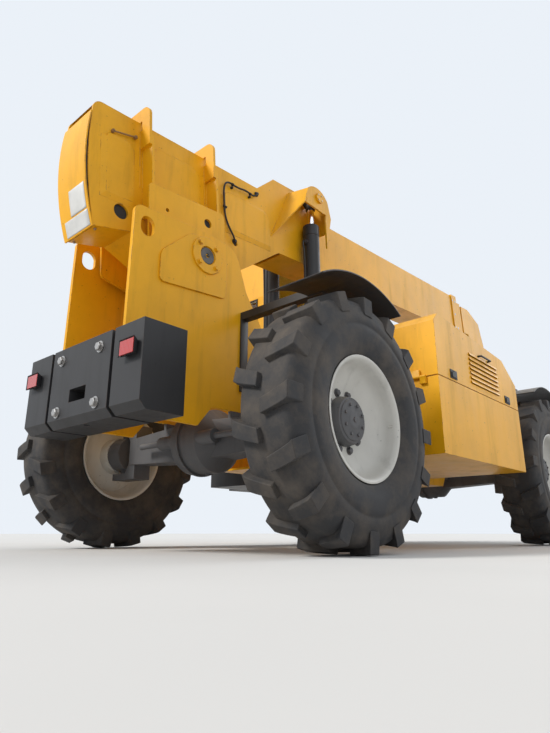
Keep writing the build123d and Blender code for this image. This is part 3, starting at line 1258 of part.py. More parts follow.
with BuildPart() as door_glass:
    with BuildSketch(side_plane(CAB_OUTER_Y - CAB_WALL / 2 + GLASS_T / 2)):
        with Locations((DOOR_MID_X, DOOR_WINDOW_Z)):
            Rectangle(DOOR_WINDOW[0] - 2 * SEAT, DOOR_WINDOW[1] - 2 * SEAT)
    extrude(amount=GLASS_T)
save(door_glass, "door_glass")

SEAT_X = CAB_X + SEAT_AHEAD
with BuildPart() as seat:
    with BuildSketch(side_plane(cab_mid_y)):
        with BuildLine():
            Polyline(
                (SEAT_X - 40, SEAT_Z - 120),
                (SEAT_X + SEAT_CUSHION - 20, SEAT_Z - 120),
                (SEAT_X + SEAT_CUSHION, SEAT_Z),
                (SEAT_X + 110, SEAT_Z + 10),
                (SEAT_X + 10, SEAT_Z + SEAT_BACK_H),
                (SEAT_X - 90, SEAT_Z + SEAT_BACK_H - 20),
                close=True,
            )
        make_face()
    extrude(amount=SEAT_HALF_W, both=True)
save(seat, "seat")

with BuildPart() as controls:
    with BuildSketch(Plane.XY.offset(CAB_FLOOR_Z + CAB_WALL)):
        with Locations((SEAT_X + 220, cab_mid_y)):
            Rectangle(420, 400)
    extrude(amount=SEAT_Z - 120 - SEAT - CAB_FLOOR_Z - CAB_WALL)
    with BuildSketch(Plane.XY.offset(CAB_FLOOR_Z + CAB_WALL)):
        with Locations((CAB_X + CAB_FRONT_LOW - CAB_WALL - 90, cab_mid_y)):
            Rectangle(160, 340)
    extrude(amount=720)
    column = Plane(
        origin=(CAB_X + CAB_FRONT_LOW - CAB_WALL - 120, cab_mid_y, CAB_FLOOR_Z + CAB_WALL + 700),
        x_dir=(0, 1, 0),
        z_dir=(-0.55, 0, 0.83),
    )
    with BuildSketch(column):
        Circle(35)
    extrude(amount=180)
    with BuildSketch(column.offset(170)):
        Circle(190)
    extrude(amount=28)
save(controls, "controls")

# Engine pod on the right, with the engine in it and a bonnet hinged at its rear edge
POD_X = REAR_AXLE_X
POD_GAP = 6.0
BONNET_HINGE = (POD_X + POD_REAR - 12.0, POD_SPLIT_Z + POD_GAP / 2)
BONNET_HINGE_Y = (-POD_OUTER_Y + 150.0, -POD_INNER_Y - 150.0)
pod_mid_y = -(POD_INNER_Y + POD_OUTER_Y) / 2
pod_half_w = (POD_OUTER_Y - POD_INNER_Y) / 2
POD_MID_X = POD_X + (POD_REAR + POD_FRONT) / 2
POD_LENGTH = POD_FRONT - POD_REAR
with BuildPart() as engine_pod:
    with BuildSketch(Plane.XY.offset(POD_LOW_Z)):
        with Locations((POD_MID_X, pod_mid_y)):
            Rectangle(POD_LENGTH, 2 * pod_half_w)
    extrude(amount=POD_SPLIT_Z - POD_LOW_Z)
    with BuildSketch(Plane.XY.offset(POD_LOW_Z + POD_WALL)):
        with Locations((POD_MID_X, pod_mid_y)):
            Rectangle(POD_LENGTH - 2 * POD_WALL, 2 * (pod_half_w - POD_WALL))
    extrude(amount=POD_SPLIT_Z, mode=Mode.SUBTRACT)
    for y in BONNET_HINGE_Y:
        with BuildSketch(side_plane(y - HINGE_LENGTH / 2 - SEAT)):
            with Locations(BONNET_HINGE):
                Circle(HINGE_R)
            with Locations((BONNET_HINGE[0] + 2, POD_SPLIT_Z - 22)):
                Rectangle(20, 44)
        extrude(amount=40)
save(engine_pod, "engine_pod")

with BuildPart() as engine_bonnet:
    with BuildSketch(side_plane(pod_mid_y)):
        with BuildLine():
            Polyline(
                (POD_X + POD_REAR, POD_SPLIT_Z + POD_GAP),
                (POD_X + POD_FRONT, POD_SPLIT_Z + POD_GAP),
                (POD_X + POD_FRONT, POD_TOP_Z - 220),
                (POD_X + POD_FRONT - 260, POD_TOP_Z - 60),
                (POD_X + POD_REAR + 60, POD_TOP_Z),
                (POD_X + POD_REAR, POD_TOP_Z - 60),
                close=True,
            )
        make_face()
    extrude(amount=pod_half_w, both=True)
    with BuildSketch(side_plane(pod_mid_y)):
        with BuildLine():
            Polyline(
                (POD_X + POD_REAR + POD_WALL, POD_SPLIT_Z - 10),
                (POD_X + POD_FRONT - POD_WALL, POD_SPLIT_Z - 10),
                (POD_X + POD_FRONT - POD_WALL, POD_TOP_Z - 235),
                (POD_X + POD_FRONT - 270, POD_TOP_Z - 88),
                (POD_X + POD_REAR + 70, POD_TOP_Z - 28),
                (POD_X + POD_REAR + POD_WALL, POD_TOP_Z - 70),
                close=True,
            )
        make_face()
    extrude(amount=pod_half_w - POD_WALL, both=True, mode=Mode.SUBTRACT)
    # louvres in the outer side and the front
    with BuildSketch(side_plane(-POD_OUTER_Y + POD_WALL + 5)):
        with Locations((POD_MID_X + 60, POD_SPLIT_Z + 160)):
            with GridLocations(1, LOUVRE_PITCH, 1, LOUVRE_COUNT):
                Rectangle(LOUVRE_LENGTH, LOUVRE_PITCH / 2)
    extrude(amount=POD_WALL + 10, mode=Mode.SUBTRACT)
    with BuildSketch(cross_plane(POD_X + POD_FRONT - POD_WALL - 5, pod_mid_y, 0)):
        with Locations((0, POD_SPLIT_Z + 110)):
            with GridLocations(1, LOUVRE_PITCH, 1, 4):
                Rectangle(LOUVRE_LENGTH, LOUVRE_PITCH / 2)
    extrude(amount=POD_WALL + 10, mode=Mode.SUBTRACT)
    for y in BONNET_HINGE_Y:
        with BuildSketch(side_plane(y)):
            with Locations(BONNET_HINGE):
                Circle(HINGE_R)
            with Locations((BONNET_HINGE[0] + 2, POD_SPLIT_Z + POD_GAP + 22)):
                Rectangle(20, 44)
        extrude(amount=HINGE_LENGTH / 2, both=True)
save(engine_bonnet, "engine_bonnet")

with BuildPart() as engine_block:
    with BuildSketch(Plane.XY.offset(POD_LOW_Z + POD_WALL + SEAT)):
        with Locations((POD_MID_X - 60, pod_mid_y)):
            Rectangle(ENGINE_LENGTH, ENGINE_WIDTH)
    extrude(amount=ENGINE_HEIGHT)
save(engine_block, "engine_block")

# Fuel and oil tank under the cab
TANK_MID_X = CAB_X + (CAB_REAR + CAB_FRONT_LOW) / 2
with BuildPart() as tank:
    with BuildSketch(Plane.XY.offset(CAB_FLOOR_Z - SEAT)):
        with Locations((TANK_MID_X, (FRAME_OUTER_Y + SEAT + TANK_OUTER_Y) / 2)):
            Rectangle(CAB_FRONT_LOW - CAB_REAR - 2 * TANK_INSET, TANK_OUTER_Y - FRAME_OUTER_Y - SEAT)
    extrude(amount=-(CAB_FLOOR_Z - SEAT - TANK_LOW_Z))
    # step under the door, on two hangers
    with BuildSketch(Plane.XY.offset(TANK_LOW_Z)):
        with Locations((TANK_MID_X, TANK_OUTER_Y + STEP_DEPTH / 2)):
            Rectangle(STEP_LENGTH, STEP_DEPTH)
            with GridLocations(STEP_LENGTH / 4, 1, 3, 1):
                SlotCenterToCenter(STEP_DEPTH - 80, 34, rotation=90, mode=Mode.SUBTRACT)
    extrude(amount=25)
    for x in (TANK_MID_X - STEP_LENGTH / 2, TANK_MID_X + STEP_LENGTH / 2 - 12):
        with BuildSketch(cross_plane(x, 0, 0)):
            with BuildLine():
                Polyline(
                    (TANK_OUTER_Y, TANK_LOW_Z),
                    (TANK_OUTER_Y + STEP_DEPTH, TANK_LOW_Z),
                    (TANK_OUTER_Y + STEP_DEPTH, TANK_LOW_Z + 45),
                    (TANK_OUTER_Y + 40, TANK_LOW_Z + 190),
                    (TANK_OUTER_Y, TANK_LOW_Z + 190),
                    close=True,
                )
            make_face()
        extrude(amount=12)
save(tank, "tank")

# Silencer and tailpipe on the right frame plate, ahead of the engine pod
with BuildPart() as exhaust:
    for low_z, high_z, radius in (
        (EXHAUST_LOW_Z, EXHAUST_HIGH_Z, EXHAUST_R),
        (EXHAUST_HIGH_Z - 1, TAILPIPE_Z, TAILPIPE_R),
    ):
        with BuildSketch(Plane.XY.offset(low_z)):
            with Locations((REAR_AXLE_X + EXHAUST_AHEAD, -EXHAUST_Y)):
                Circle(radius)
        extrude(amount=high_z - low_z)
    with BuildSketch(Plane.XY.offset(TAILPIPE_Z)):
        with Locations((REAR_AXLE_X + EXHAUST_AHEAD, -EXHAUST_Y)):
            Circle(TAILPIPE_R - 4)
    extrude(amount=-60, mode=Mode.SUBTRACT)
    with BuildSketch(side_plane(-EXHAUST_Y)):
        with Locations((REAR_AXLE_X + EXHAUST_AHEAD, TAILPIPE_Z + 25)):
            Rectangle(90, 40, rotation=-40)
    extrude(amount=TAILPIPE_R + 5, both=True, mode=Mode.SUBTRACT)
    for z in (EXHAUST_LOW_Z + 90, FRAME_TOP_Z - 60):
        with BuildSketch(Plane.XY.offset(z - 20)):
            with Locations((REAR_AXLE_X + EXHAUST_AHEAD, -(FRAME_OUTER_Y + SEAT + EXHAUST_Y) / 2)):
                Rectangle(70, EXHAUST_Y - FRAME_OUTER_Y - SEAT)
        extrude(amount=40)
save(exhaust, "exhaust")

# Mudguards over the four wheels, carried on the chassis plates by their own arms
GUARD_T = 8.0
GUARD_R = TYRE_RADIUS + 96.0
GUARD_SWEEP = 60.0
with BuildPart() as mudguards:
    for axle_x in (FRONT_AXLE_X, REAR_AXLE_X):
        for side in (1, -1):
            outer = TRACK_HALF + TYRE_WIDTH / 2 - 5
            inner = TRACK_HALF - TYRE_WIDTH / 2 - 20
            with BuildSketch(side_plane(side * (outer + inner) / 2)):
                with BuildLine():
                    a1 = 90 - GUARD_SWEEP / 2
                    a2 = 90 + GUARD_SWEEP / 2
                    low = CenterArc((axle_x, AXLE_Z), GUARD_R, a1, a2 - a1)
                    high = CenterArc((axle_x, AXLE_Z), GUARD_R + GUARD_T, a1, a2 - a1)
                    Line(low @ 0, high @ 0)
                    Line(low @ 1, high @ 1)
                make_face()
            extrude(amount=(outer - inner) / 2, both=True)
            arm_y = side * (FRAME_OUTER_Y + SEAT)
            with BuildSketch(side_plane(arm_y)):
                with Locations((axle_x, AXLE_Z + GUARD_R + 20)):
                    Rectangle(60, 50)
            extrude(amount=-side * (inner + 100 - FRAME_OUTER_Y))
            with BuildSketch(side_plane(arm_y)):
                with Locations((axle_x, (AXLE_Z + GUARD_R + 45 + FRAME_TOP_Z - 100) / 2)):
                    Rectangle(60, AXLE_Z + GUARD_R + 45 - FRAME_TOP_Z + 100)
            extrude(amount=-side * 12)
save(mudguards, "mudguards")

# Lamps: work lamps on the cab roof, headlamps at the chassis' front end and tail lamps on the counterweight,
# and the mirror ahead of the cab's front pillar
LAMP_W = 130.0
LAMP_H = 90.0
MIRROR_W = 170.0
MIRROR_H = 300.0
HEADLAMP_Z = 860.0
HEADLAMP_DEPTH = 90.0
tail_x = REAR_AXLE_X - BALLAST_REAR - SEAT - 34
head_x = REAR_AXLE_X + FRAME_FRONT_AHEAD - HEADLAMP_DEPTH
head_y = FRAME_OUTER_Y + SEAT + LAMP_W / 2
with BuildPart() as lamps:
    for x, y, z, depth in (
        # rear face's x, then y, z of the middle and the depth along x
        (CAB_X + CAB_REAR + 165, CAB_OUTER_Y - 120, CAB_ROOF_Z + LAMP_H / 2 + SEAT, 70),
        (CAB_X + CAB_ROOF_FRONT - 155, CAB_OUTER_Y - 120, CAB_ROOF_Z + LAMP_H / 2 + SEAT, 70),
        (CAB_X + CAB_ROOF_FRONT - 155, CAB_INNER_Y + 120, CAB_ROOF_Z + LAMP_H / 2 + SEAT, 70),
        (head_x, head_y, HEADLAMP_Z, HEADLAMP_DEPTH),
        (head_x, -head_y, HEADLAMP_Z, HEADLAMP_DEPTH),
        (tail_x, BALLAST_HALF_W - 90, BALLAST_LOW_Z + 300, 34),
        (tail_x, -BALLAST_HALF_W + 90, BALLAST_LOW_Z + 300, 34),
    ):
        with BuildSketch(cross_plane(x, y, z)):
            Rectangle(LAMP_W, LAMP_H)
        extrude(amount=depth)
    with BuildSketch(cross_plane(CAB_X + CAB_FRONT_HIGH + 110, 0, 0)):
        with Locations((CAB_OUTER_Y - MIRROR_W / 2 + 20, CAB_NOSE_Z + 150)):
            Rectangle(MIRROR_W, MIRROR_H)
    extrude(amount=30)
    with BuildSketch(cross_plane(CAB_X + CAB_FRONT_HIGH + SEAT, 0, 0)):
        with Locations((CAB_OUTER_Y - 60, CAB_NOSE_Z - 40)):
            Circle(12)
    extrude(amount=120)
    with BuildSketch(Plane.XY.offset(CAB_NOSE_Z - 40)):
        with Locations((CAB_X + CAB_FRONT_HIGH + 122, CAB_OUTER_Y - 60)):
            Circle(12)
    extrude(amount=60)
save(lamps, "lamps")
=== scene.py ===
"""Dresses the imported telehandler: paint, rubber, glass, cloth and the small hardware of each sub-assembly."""

import json
import logging
import math
import random
from dataclasses import dataclass, field
from enum import Enum
from typing import Optional, Sequence

import bmesh
import bpy
from mathutils import Matrix, Vector

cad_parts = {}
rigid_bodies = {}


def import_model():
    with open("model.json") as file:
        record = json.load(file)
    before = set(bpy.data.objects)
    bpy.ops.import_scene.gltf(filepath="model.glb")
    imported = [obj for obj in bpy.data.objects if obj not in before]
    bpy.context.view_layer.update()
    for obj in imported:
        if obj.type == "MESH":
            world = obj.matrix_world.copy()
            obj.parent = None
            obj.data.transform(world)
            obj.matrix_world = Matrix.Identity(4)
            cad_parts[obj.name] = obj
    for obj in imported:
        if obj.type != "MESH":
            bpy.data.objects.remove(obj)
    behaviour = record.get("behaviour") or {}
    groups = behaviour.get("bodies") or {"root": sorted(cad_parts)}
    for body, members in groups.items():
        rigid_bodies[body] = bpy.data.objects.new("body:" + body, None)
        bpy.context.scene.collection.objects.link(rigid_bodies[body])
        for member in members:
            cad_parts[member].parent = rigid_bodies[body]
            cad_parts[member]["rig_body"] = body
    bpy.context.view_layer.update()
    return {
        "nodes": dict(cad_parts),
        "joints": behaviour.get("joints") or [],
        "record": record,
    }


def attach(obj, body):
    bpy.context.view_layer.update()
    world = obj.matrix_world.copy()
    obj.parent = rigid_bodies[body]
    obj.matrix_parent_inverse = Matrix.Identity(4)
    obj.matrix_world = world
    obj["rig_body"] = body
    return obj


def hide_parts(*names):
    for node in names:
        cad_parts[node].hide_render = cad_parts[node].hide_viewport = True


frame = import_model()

log = logging.getLogger("telehandler")

Point = tuple[float, float, float]
Colour = tuple[float, float, float]
Spot = tuple[float, float]
Profile = Sequence[Spot]
Mesh = bmesh.types.BMesh
Node = bpy.types.Node
Piece = bpy.types.Object

FORWARD, LEFTWARD, UPWARD = (1, 0, 0), (0, 1, 0), (0, 0, 1)
SIDES = (-1, 1)
ORIGIN = BLACK = (0.0, 0.0, 0.0)
MIX_INPUTS = (0, 6, 7)
MIX_COLOUR = 2
SAME_POINT = 1e-6


class Slot(Enum):
    """The record's material slots."""

    PAINT = "paint"
    DARK_PAINT = "dark_paint"
    AXLE_PAINT = "axle_paint"
    RIM_PAINT = "rim_paint"
    TYRE = "tyre"
    CHROME = "chrome_rod"
    PIN = "pin_steel"
    FORK = "fork_steel"
    GLASS = "glass"
    LAMP = "lamp"
    SEAT = "seat_cover"
    PLASTIC = "cab_plastic"
    HOT = "hot_steel"


class Side(Enum):
    """Which side of the machine a piece stands on, as the sign of its Y."""

    LEFT = 1
    RIGHT = -1


def shade(colour: Colour, share: float) -> Colour:
    """A colour made darker, or lighter up to white."""
    return tuple(min(1.0, c * share) for c in colour)


class Graph:
    """A material's node tree, with short calls to add and join nodes."""

    def __init__(self, name: str) -> None:
        """Makes an empty material.

        Args:
            name: the material's name.
        """
        self.material = bpy.data.materials.new(name)
        self.material.use_nodes = True
        self.tree = self.material.node_tree
        self.tree.nodes.clear()
        self.output = self.add("ShaderNodeOutputMaterial")
        self.shader = self.add("ShaderNodeBsdfPrincipled")
        self.join(self.shader, "BSDF", self.output, "Surface")
        self.coords = self.add("ShaderNodeTexCoord")

    def add(self, kind: str, **settings: object) -> Node:
        """Adds a node and sets its properties and input defaults.

        Args:
            kind: the node's type name.
            settings: properties by name, or inputs as in_Name.

        Returns:
            The new node.
        """
        node = self.tree.nodes.new(kind)
        for key, value in settings.items():
            if key.startswith("in_"):
                node.inputs[key[3:].replace("_", " ")].default_value = value
            else:
                setattr(node, key, value)
        return node

    def join(self, a: Node, out: str | int, b: Node, into: str | int) -> None:
        """Links output out of node a to input into of node b."""
        self.tree.links.new(a.outputs[out], b.inputs[into])

    def on_piece(self, texture: Node, stretch: Point = (1.0, 1.0, 1.0)) -> Node:
        """Lays a texture on the piece's own Object coordinates.

        Args:
            texture: the texture node.
            stretch: extra scale along each axis.

        Returns:
            The texture node.
        """
        mapping = self.add("ShaderNodeMapping", in_Scale=stretch)
        self.join(self.coords, "Object", mapping, "Vector")
        self.join(mapping, "Vector", texture, "Vector")
        return texture

    def noise(self, scale: float, detail: float = 4.0, roughness: float = 0.55, stretch: Point = (1, 1, 1)) -> Node:
        """A noise texture with scale features a metre."""
        texture = self.add("ShaderNodeTexNoise", in_Scale=scale, in_Detail=detail, in_Roughness=roughness)
        return self.on_piece(texture, stretch)

    def wave(self, direction: str, scale: float, distortion: float = 0.0) -> Node:
        """A wave texture of straight bands."""
        kinds = {"wave_type": "BANDS", "bands_direction": direction}
        return self.on_piece(self.add("ShaderNodeTexWave", **kinds, in_Scale=scale, in_Distortion=distortion))

    def ramp(self, source: Node, out: str, low: float, low_colour: Colour, high: float, high_colour: Colour) -> Node:
        """A ramp between two colours.

        Args:
            source: the node that drives it.
            out: that node's output.
            low: where the first colour ends.
            low_colour: the first colour.
            high: where the second colour starts.
            high_colour: the second colour.

        Returns:
            The ramp node.
        """
        node = self.add("ShaderNodeValToRGB")
        for element, position, colour in zip(node.color_ramp.elements, (low, high), (low_colour, high_colour)):
            element.position = position
            element.color = (*colour, 1.0)
        self.join(source, out, node, "Fac")
        return node

    def mask(self, source: Node, low: float, high: float, top: float) -> tuple[Node, str]:
        """A mask from black to a grey, by a noise's height."""
        return self.ramp(source, "Fac", low, BLACK, high, (top,) * 3), "Color"

    def blend(self, factor: tuple[Node, str | int] | float, a: object, b: object, mode: str = "MIX") -> Node:
        """Mixes two colours.

        Args:
            factor: a (node, output) pair or a number.
            a: a colour or a (node, output) pair.
            b: the same, for the second colour.
            mode: the blend type.

        Returns:
            The mix node, whose colour is output MIX_COLOUR.
        """
        node = self.add("ShaderNodeMix", data_type="RGBA", blend_type=mode)
        for socket, value in zip(MIX_INPUTS, (factor, a, b)):
            if isinstance(value, tuple) and isinstance(value[0], Node):
                self.join(*value, node, socket)
            else:
                node.inputs[socket].default_value = (*value, 1.0) if socket else value
        return node

    def bump(self, source: Node, out: str, strength: float, distance: float) -> None:
        """Adds a bump to the shader's normal, on top of any that is there.

        Args:
            source: the height's node.
            out: its output.
            strength: 0 to 1.
            distance: the height in metres.
        """
        node = self.add("ShaderNodeBump", in_Strength=strength, in_Distance=distance)
        self.join(source, out, node, "Height")
        links = self.shader.inputs["Normal"].links
        if links:
            self.tree.links.new(links[0].from_socket, node.inputs["Normal"])
        self.join(node, "Normal", self.shader, "Normal")

    def paint_with(self, node: Node) -> None:
        """Uses a mix or ramp node's colour as the base colour."""
        self.join(node, MIX_COLOUR if node.bl_idname == "ShaderNodeMix" else "Color", self.shader, "Base Color")

    def roughness_from(self, source: Node, out: str, low: float, high: float) -> None:
        """Lets a pattern drive the roughness.

        Args:
            source: the pattern's node.
            out: its output.
            low: the roughness at 0.
            high: the roughness at 1.
        """
        node = self.add("ShaderNodeMapRange", in_To_Min=low, in_To_Max=high)
        self.join(source, out, node, "Value")
        self.join(node, "Result", self.shader, "Roughness")

    def set(self, **values: float) -> None:
        """Sets plain numbers on the shader's own sockets."""
        for name, value in values.items():
            self.shader.inputs[name.replace("_", " ")].default_value = value


@dataclass(frozen=True)
class Finish:
    """A surface finish of the machine. Each kind lays out its own nodes."""

    name: str

    def lay(self, g: Graph) -> None:
        """Lays out the finish's nodes in an empty material."""
        raise NotImplementedError

    def build(self) -> bpy.types.Material:
        """Builds the node material.

        Returns:
            The finished material.
        """
        g = Graph(self.name)
        self.lay(g)
        return g.material


@dataclass(frozen=True)
class MachinePaint(Finish):
    """Sprayed enamel on steel plate: orange peel, dust on what faces up, grime, chips and worn edges."""

    colour: Colour
    dust: Colour = (0.42, 0.36, 0.27)
    dust_amount: float = 0.3
    roughness: float = 0.33
    chips: float = 0.6
    edge: float = 0.006
    bare: Colour = (0.15, 0.065, 0.028)

    def worn_edge(self, g: Graph, normal: Node) -> Node:
        """Finds where the paint is knocked off: near edges, in patches.

        Args:
            g: the material.
            normal: its Geometry node.

        Returns:
            A mix node whose colour is the mask.
        """
        rounded = g.add("ShaderNodeBevel", samples=4, in_Radius=self.edge)
        turned_off = g.add("ShaderNodeVectorMath", operation="DOT_PRODUCT")
        g.join(rounded, "Normal", turned_off, 0)
        g.join(normal, "Normal", turned_off, 1)
        at_edge = g.add("ShaderNodeMapRange", in_From_Min=0.985, in_From_Max=0.9)
        g.join(turned_off, "Value", at_edge, "Value")
        return g.blend(1.0, (at_edge, "Result"), g.mask(g.noise(17.0, 6.0, 0.72), 0.49, 0.58, self.chips), "MULTIPLY")

    def dusted(self, g: Graph, normal: Node) -> Node:
        """Finds where dust lies: in patches on what faces up.

        Args:
            g: the material.
            normal: its Geometry node.

        Returns:
            A math node whose Value is the mask.
        """
        split = g.add("ShaderNodeSeparateXYZ")
        g.join(normal, "Normal", split, "Vector")
        up = g.add("ShaderNodeMapRange", in_From_Min=0.55, in_From_Max=1.0, in_To_Min=0.0, in_To_Max=self.dust_amount)
        g.join(split, "Z", up, "Value")
        patch = g.add("ShaderNodeMath", operation="MULTIPLY")
        g.join(up, "Result", patch, 0)
        g.join(g.noise(22.0, 6.0, 0.7), "Fac", patch, 1)
        return patch

    def lay(self, g: Graph) -> None:
        """Lays out the enamel's nodes.

        Args:
            g: the material.
        """
        base = g.ramp(g.noise(1.7, 5.0, 0.6), "Fac", 0.3, shade(self.colour, 0.8), 0.62, self.colour)
        streaks = g.noise(9.0, 6.0, 0.65, stretch=(1.0, 1.0, 0.12))
        grimy = g.blend(g.mask(streaks, 0.52, 0.78, 0.5), (base, "Color"), shade(self.colour, 0.45))
        normal = g.add("ShaderNodeNewGeometry")
        dusty = g.blend((self.dusted(g, normal), "Value"), (grimy, MIX_COLOUR), self.dust)
        chip_mask = g.mask(g.noise(60.0, 3.0, 0.5), 0.72, 0.74, self.chips)
        worn = g.blend(chip_mask, (dusty, MIX_COLOUR), shade(self.colour, 0.25))
        g.paint_with(g.blend((self.worn_edge(g, normal), MIX_COLOUR), (worn, MIX_COLOUR), self.bare))
        g.roughness_from(streaks, "Fac", self.roughness - 0.08, self.roughness + 0.22)
        g.set(Coat_Weight=0.06, Coat_Roughness=0.15, IOR=1.5, Specular_IOR_Level=0.3)
        g.bump(g.noise(420.0, 2.0, 0.5), "Fac", 0.12, 0.0006)
        g.bump(g.noise(3.2, 2.0, 0.4), "Fac", 0.18, 0.004)


@dataclass(frozen=True)
class Rubber(Finish):
    """Tyre rubber, dusty in the hollows, with fine moulding grain."""

    colour: Colour = (0.028, 0.028, 0.03)
    dust: Colour = (0.16, 0.13, 0.1)
    dust_amount: float = 0.55

    def lay(self, g: Graph) -> None:
        """Lays out the rubber's nodes.

        Args:
            g: the material.
        """
        broad = g.noise(5.0, 7.0, 0.7)
        g.paint_with(g.blend(g.mask(broad, 0.42, 0.75, self.dust_amount), self.colour, self.dust))
        g.roughness_from(broad, "Fac", 0.62, 0.95)
        g.set(IOR=1.45)
        g.bump(g.noise(240.0, 3.0, 0.6), "Fac", 0.35, 0.0012)
        g.bump(g.noise(16.0, 4.0, 0.6), "Fac", 0.2, 0.004)


@dataclass(frozen=True)
class Metal(Finish):
    """Bare, brushed or polished metal, with a lay along one axis and a film of oil and dust."""

    colour: Colour
    roughness: float
    lay_of_grain: Point = (1.0, 1.0, 1.0)
    stain: Colour = (0.12, 0.08, 0.05)
    stain_amount: float = 0.35
    metallic: float = 1.0

    def lay(self, g: Graph) -> None:
        """Lays out the metal's nodes.

        Args:
            g: the material.
        """
        g.paint_with(g.blend(g.mask(g.noise(7.0, 6.0, 0.65), 0.5, 0.8, self.stain_amount), self.colour, self.stain))
        brushed = g.noise(160.0, 3.0, 0.6, stretch=self.lay_of_grain)
        g.roughness_from(brushed, "Fac", self.roughness * 0.7, min(1.0, self.roughness * 1.5))
        g.set(Metallic=self.metallic)
        g.bump(brushed, "Fac", 0.12, 0.0005)


@dataclass(frozen=True)
class Glazing(Finish):
    """Toughened glass with a light tint."""

    tint: Colour = (0.78, 0.86, 0.84)

    def lay(self, g: Graph) -> None:
        """Lays out the glass's nodes.

        Args:
            g: the material.
        """
        smear = g.noise(2.5, 5.0, 0.7, stretch=(1.0, 1.0, 0.4))
        g.roughness_from(smear, "Fac", 0.0, 0.09)
        g.paint_with(g.ramp(smear, "Fac", 0.2, self.tint, 0.9, shade(self.tint, 0.95)))
        g.set(Transmission_Weight=1.0, IOR=1.45)


@dataclass(frozen=True)
class Plastic(Finish):
    """Moulded plastic with a fine grain."""

    colour: Colour
    roughness: float = 0.5
    grain: float = 0.3

    def lay(self, g: Graph) -> None:
        """Lays out the plastic's nodes.

        Args:
            g: the material.
        """
        broad = g.noise(6.0, 5.0, 0.6)
        g.paint_with(g.ramp(broad, "Fac", 0.3, shade(self.colour, 0.75), 0.7, self.colour))
        g.roughness_from(broad, "Fac", self.roughness - 0.1, self.roughness + 0.15)
        cells = g.on_piece(g.add("ShaderNodeTexVoronoi", in_Scale=700.0))
        g.bump(cells, "Distance", self.grain, 0.0005)


@dataclass(frozen=True)
class Cloth(Finish):
    """Woven seat cloth: two crossed waves, with a slight sheen."""

    colour: Colour
    thread: float = 70.0

    def lay(self, g: Graph) -> None:
        """Lays out the cloth's nodes.

        Args:
            g: the material.
        """
        weave = g.add("ShaderNodeMath", operation="MAXIMUM")
        for socket, direction in enumerate(("Y", "DIAGONAL")):
            g.join(g.wave(direction, self.thread, 0.4), "Fac", weave, socket)
        g.paint_with(g.ramp(weave, "Value", 0.1, shade(self.colour, 0.6), 0.95, shade(self.colour, 1.9)))
        g.set(Roughness=0.9, Sheen_Weight=0.35, Sheen_Roughness=0.4)
        g.bump(weave, "Value", 0.5, 0.0008)


@dataclass(frozen=True)
class LampLens(Finish):
    """Clear lens over a reflector, with moulded ribs."""

    colour: Colour = (0.9, 0.9, 0.88)

    def lay(self, g: Graph) -> None:
        """Lays out the lens's nodes.

        Args:
            g: the material.
        """
        ribs = g.wave("Y", 28.0)
        g.paint_with(g.ramp(ribs, "Fac", 0.0, shade(self.colour, 0.8), 1.0, self.colour))
        g.set(Roughness=0.12, Coat_Weight=1.0, Coat_Roughness=0.03, Metallic=0.35)
        g.bump(ribs, "Fac", 0.4, 0.002)


FINISHES = {
    Slot.PAINT: MachinePaint("orange_yellow_enamel", (0.88, 0.43, 0.006), roughness=0.36, chips=0.9),
    Slot.DARK_PAINT: MachinePaint("black_enamel", (0.03, 0.03, 0.032), roughness=0.42, dust_amount=0.5, chips=0.3),
    Slot.AXLE_PAINT: MachinePaint("grey_axle_paint", (0.11, 0.11, 0.115), roughness=0.55, dust_amount=0.7, chips=0.4),
    Slot.RIM_PAINT: MachinePaint("pale_rim_paint", (0.62, 0.61, 0.57), roughness=0.4, dust_amount=0.3),
    Slot.TYRE: Rubber("tyre_rubber"),
    Slot.CHROME: Metal("hard_chrome", (0.82, 0.83, 0.85), 0.14, (0.05, 1.0, 1.0), stain_amount=0.12),
    Slot.PIN: Metal("turned_steel", (0.42, 0.41, 0.4), 0.35),
    Slot.FORK: Metal("forged_fork_steel", (0.07, 0.065, 0.06), 0.5, (0.04, 1.0, 1.0), stain_amount=0.6),
    Slot.GLASS: Glazing("cab_glazing"),
    Slot.LAMP: LampLens("lamp_lens"),
    Slot.SEAT: Cloth("seat_cloth", (0.045, 0.047, 0.055)),
    Slot.PLASTIC: Plastic("cab_plastic", (0.03, 0.03, 0.033)),
    Slot.HOT: Metal("heat_darkened_steel", (0.22, 0.19, 0.17), 0.55, stain=(0.16, 0.07, 0.03), stain_amount=0.7),
}
TRIM = Plastic("black_rubber_trim", (0.02, 0.02, 0.02), 0.7, 0.1)
STICKER = Plastic("white_film", (0.72, 0.72, 0.70), 0.35, 0.05)
PAD_NYLON = Plastic("green_grey_nylon", (0.30, 0.32, 0.27), 0.6, 0.2)
WEATHERED = Metal(
    "weathered_steel", (0.30, 0.17, 0.07), 0.6, stain=(0.09, 0.035, 0.015), stain_amount=0.8, metallic=0.25,
)
GREASED = Metal("greased_steel", (0.10, 0.095, 0.09), 0.38, stain=(0.012, 0.011, 0.010), stain_amount=0.9)
MIRROR_GLASS = Metal("mirror_silver", (0.9, 0.9, 0.92), 0.03, stain_amount=0.05)
RED_LENS = LampLens("red_lens", (0.55, 0.02, 0.015))


@dataclass
class Paintshop:
    """Builds each finish once and hands it out."""

    made: dict[str, bpy.types.Material] = field(default_factory=dict)

    def material(self, finish: Finish) -> bpy.types.Material:
        """Finds the material of a finish, and makes it at its first use.

        Args:
            finish: the finish.

        Returns:
            Its material.
        """
        if finish.name not in self.made:
            self.made[finish.name] = finish.build()
        return self.made[finish.name]


SHOP = Paintshop()


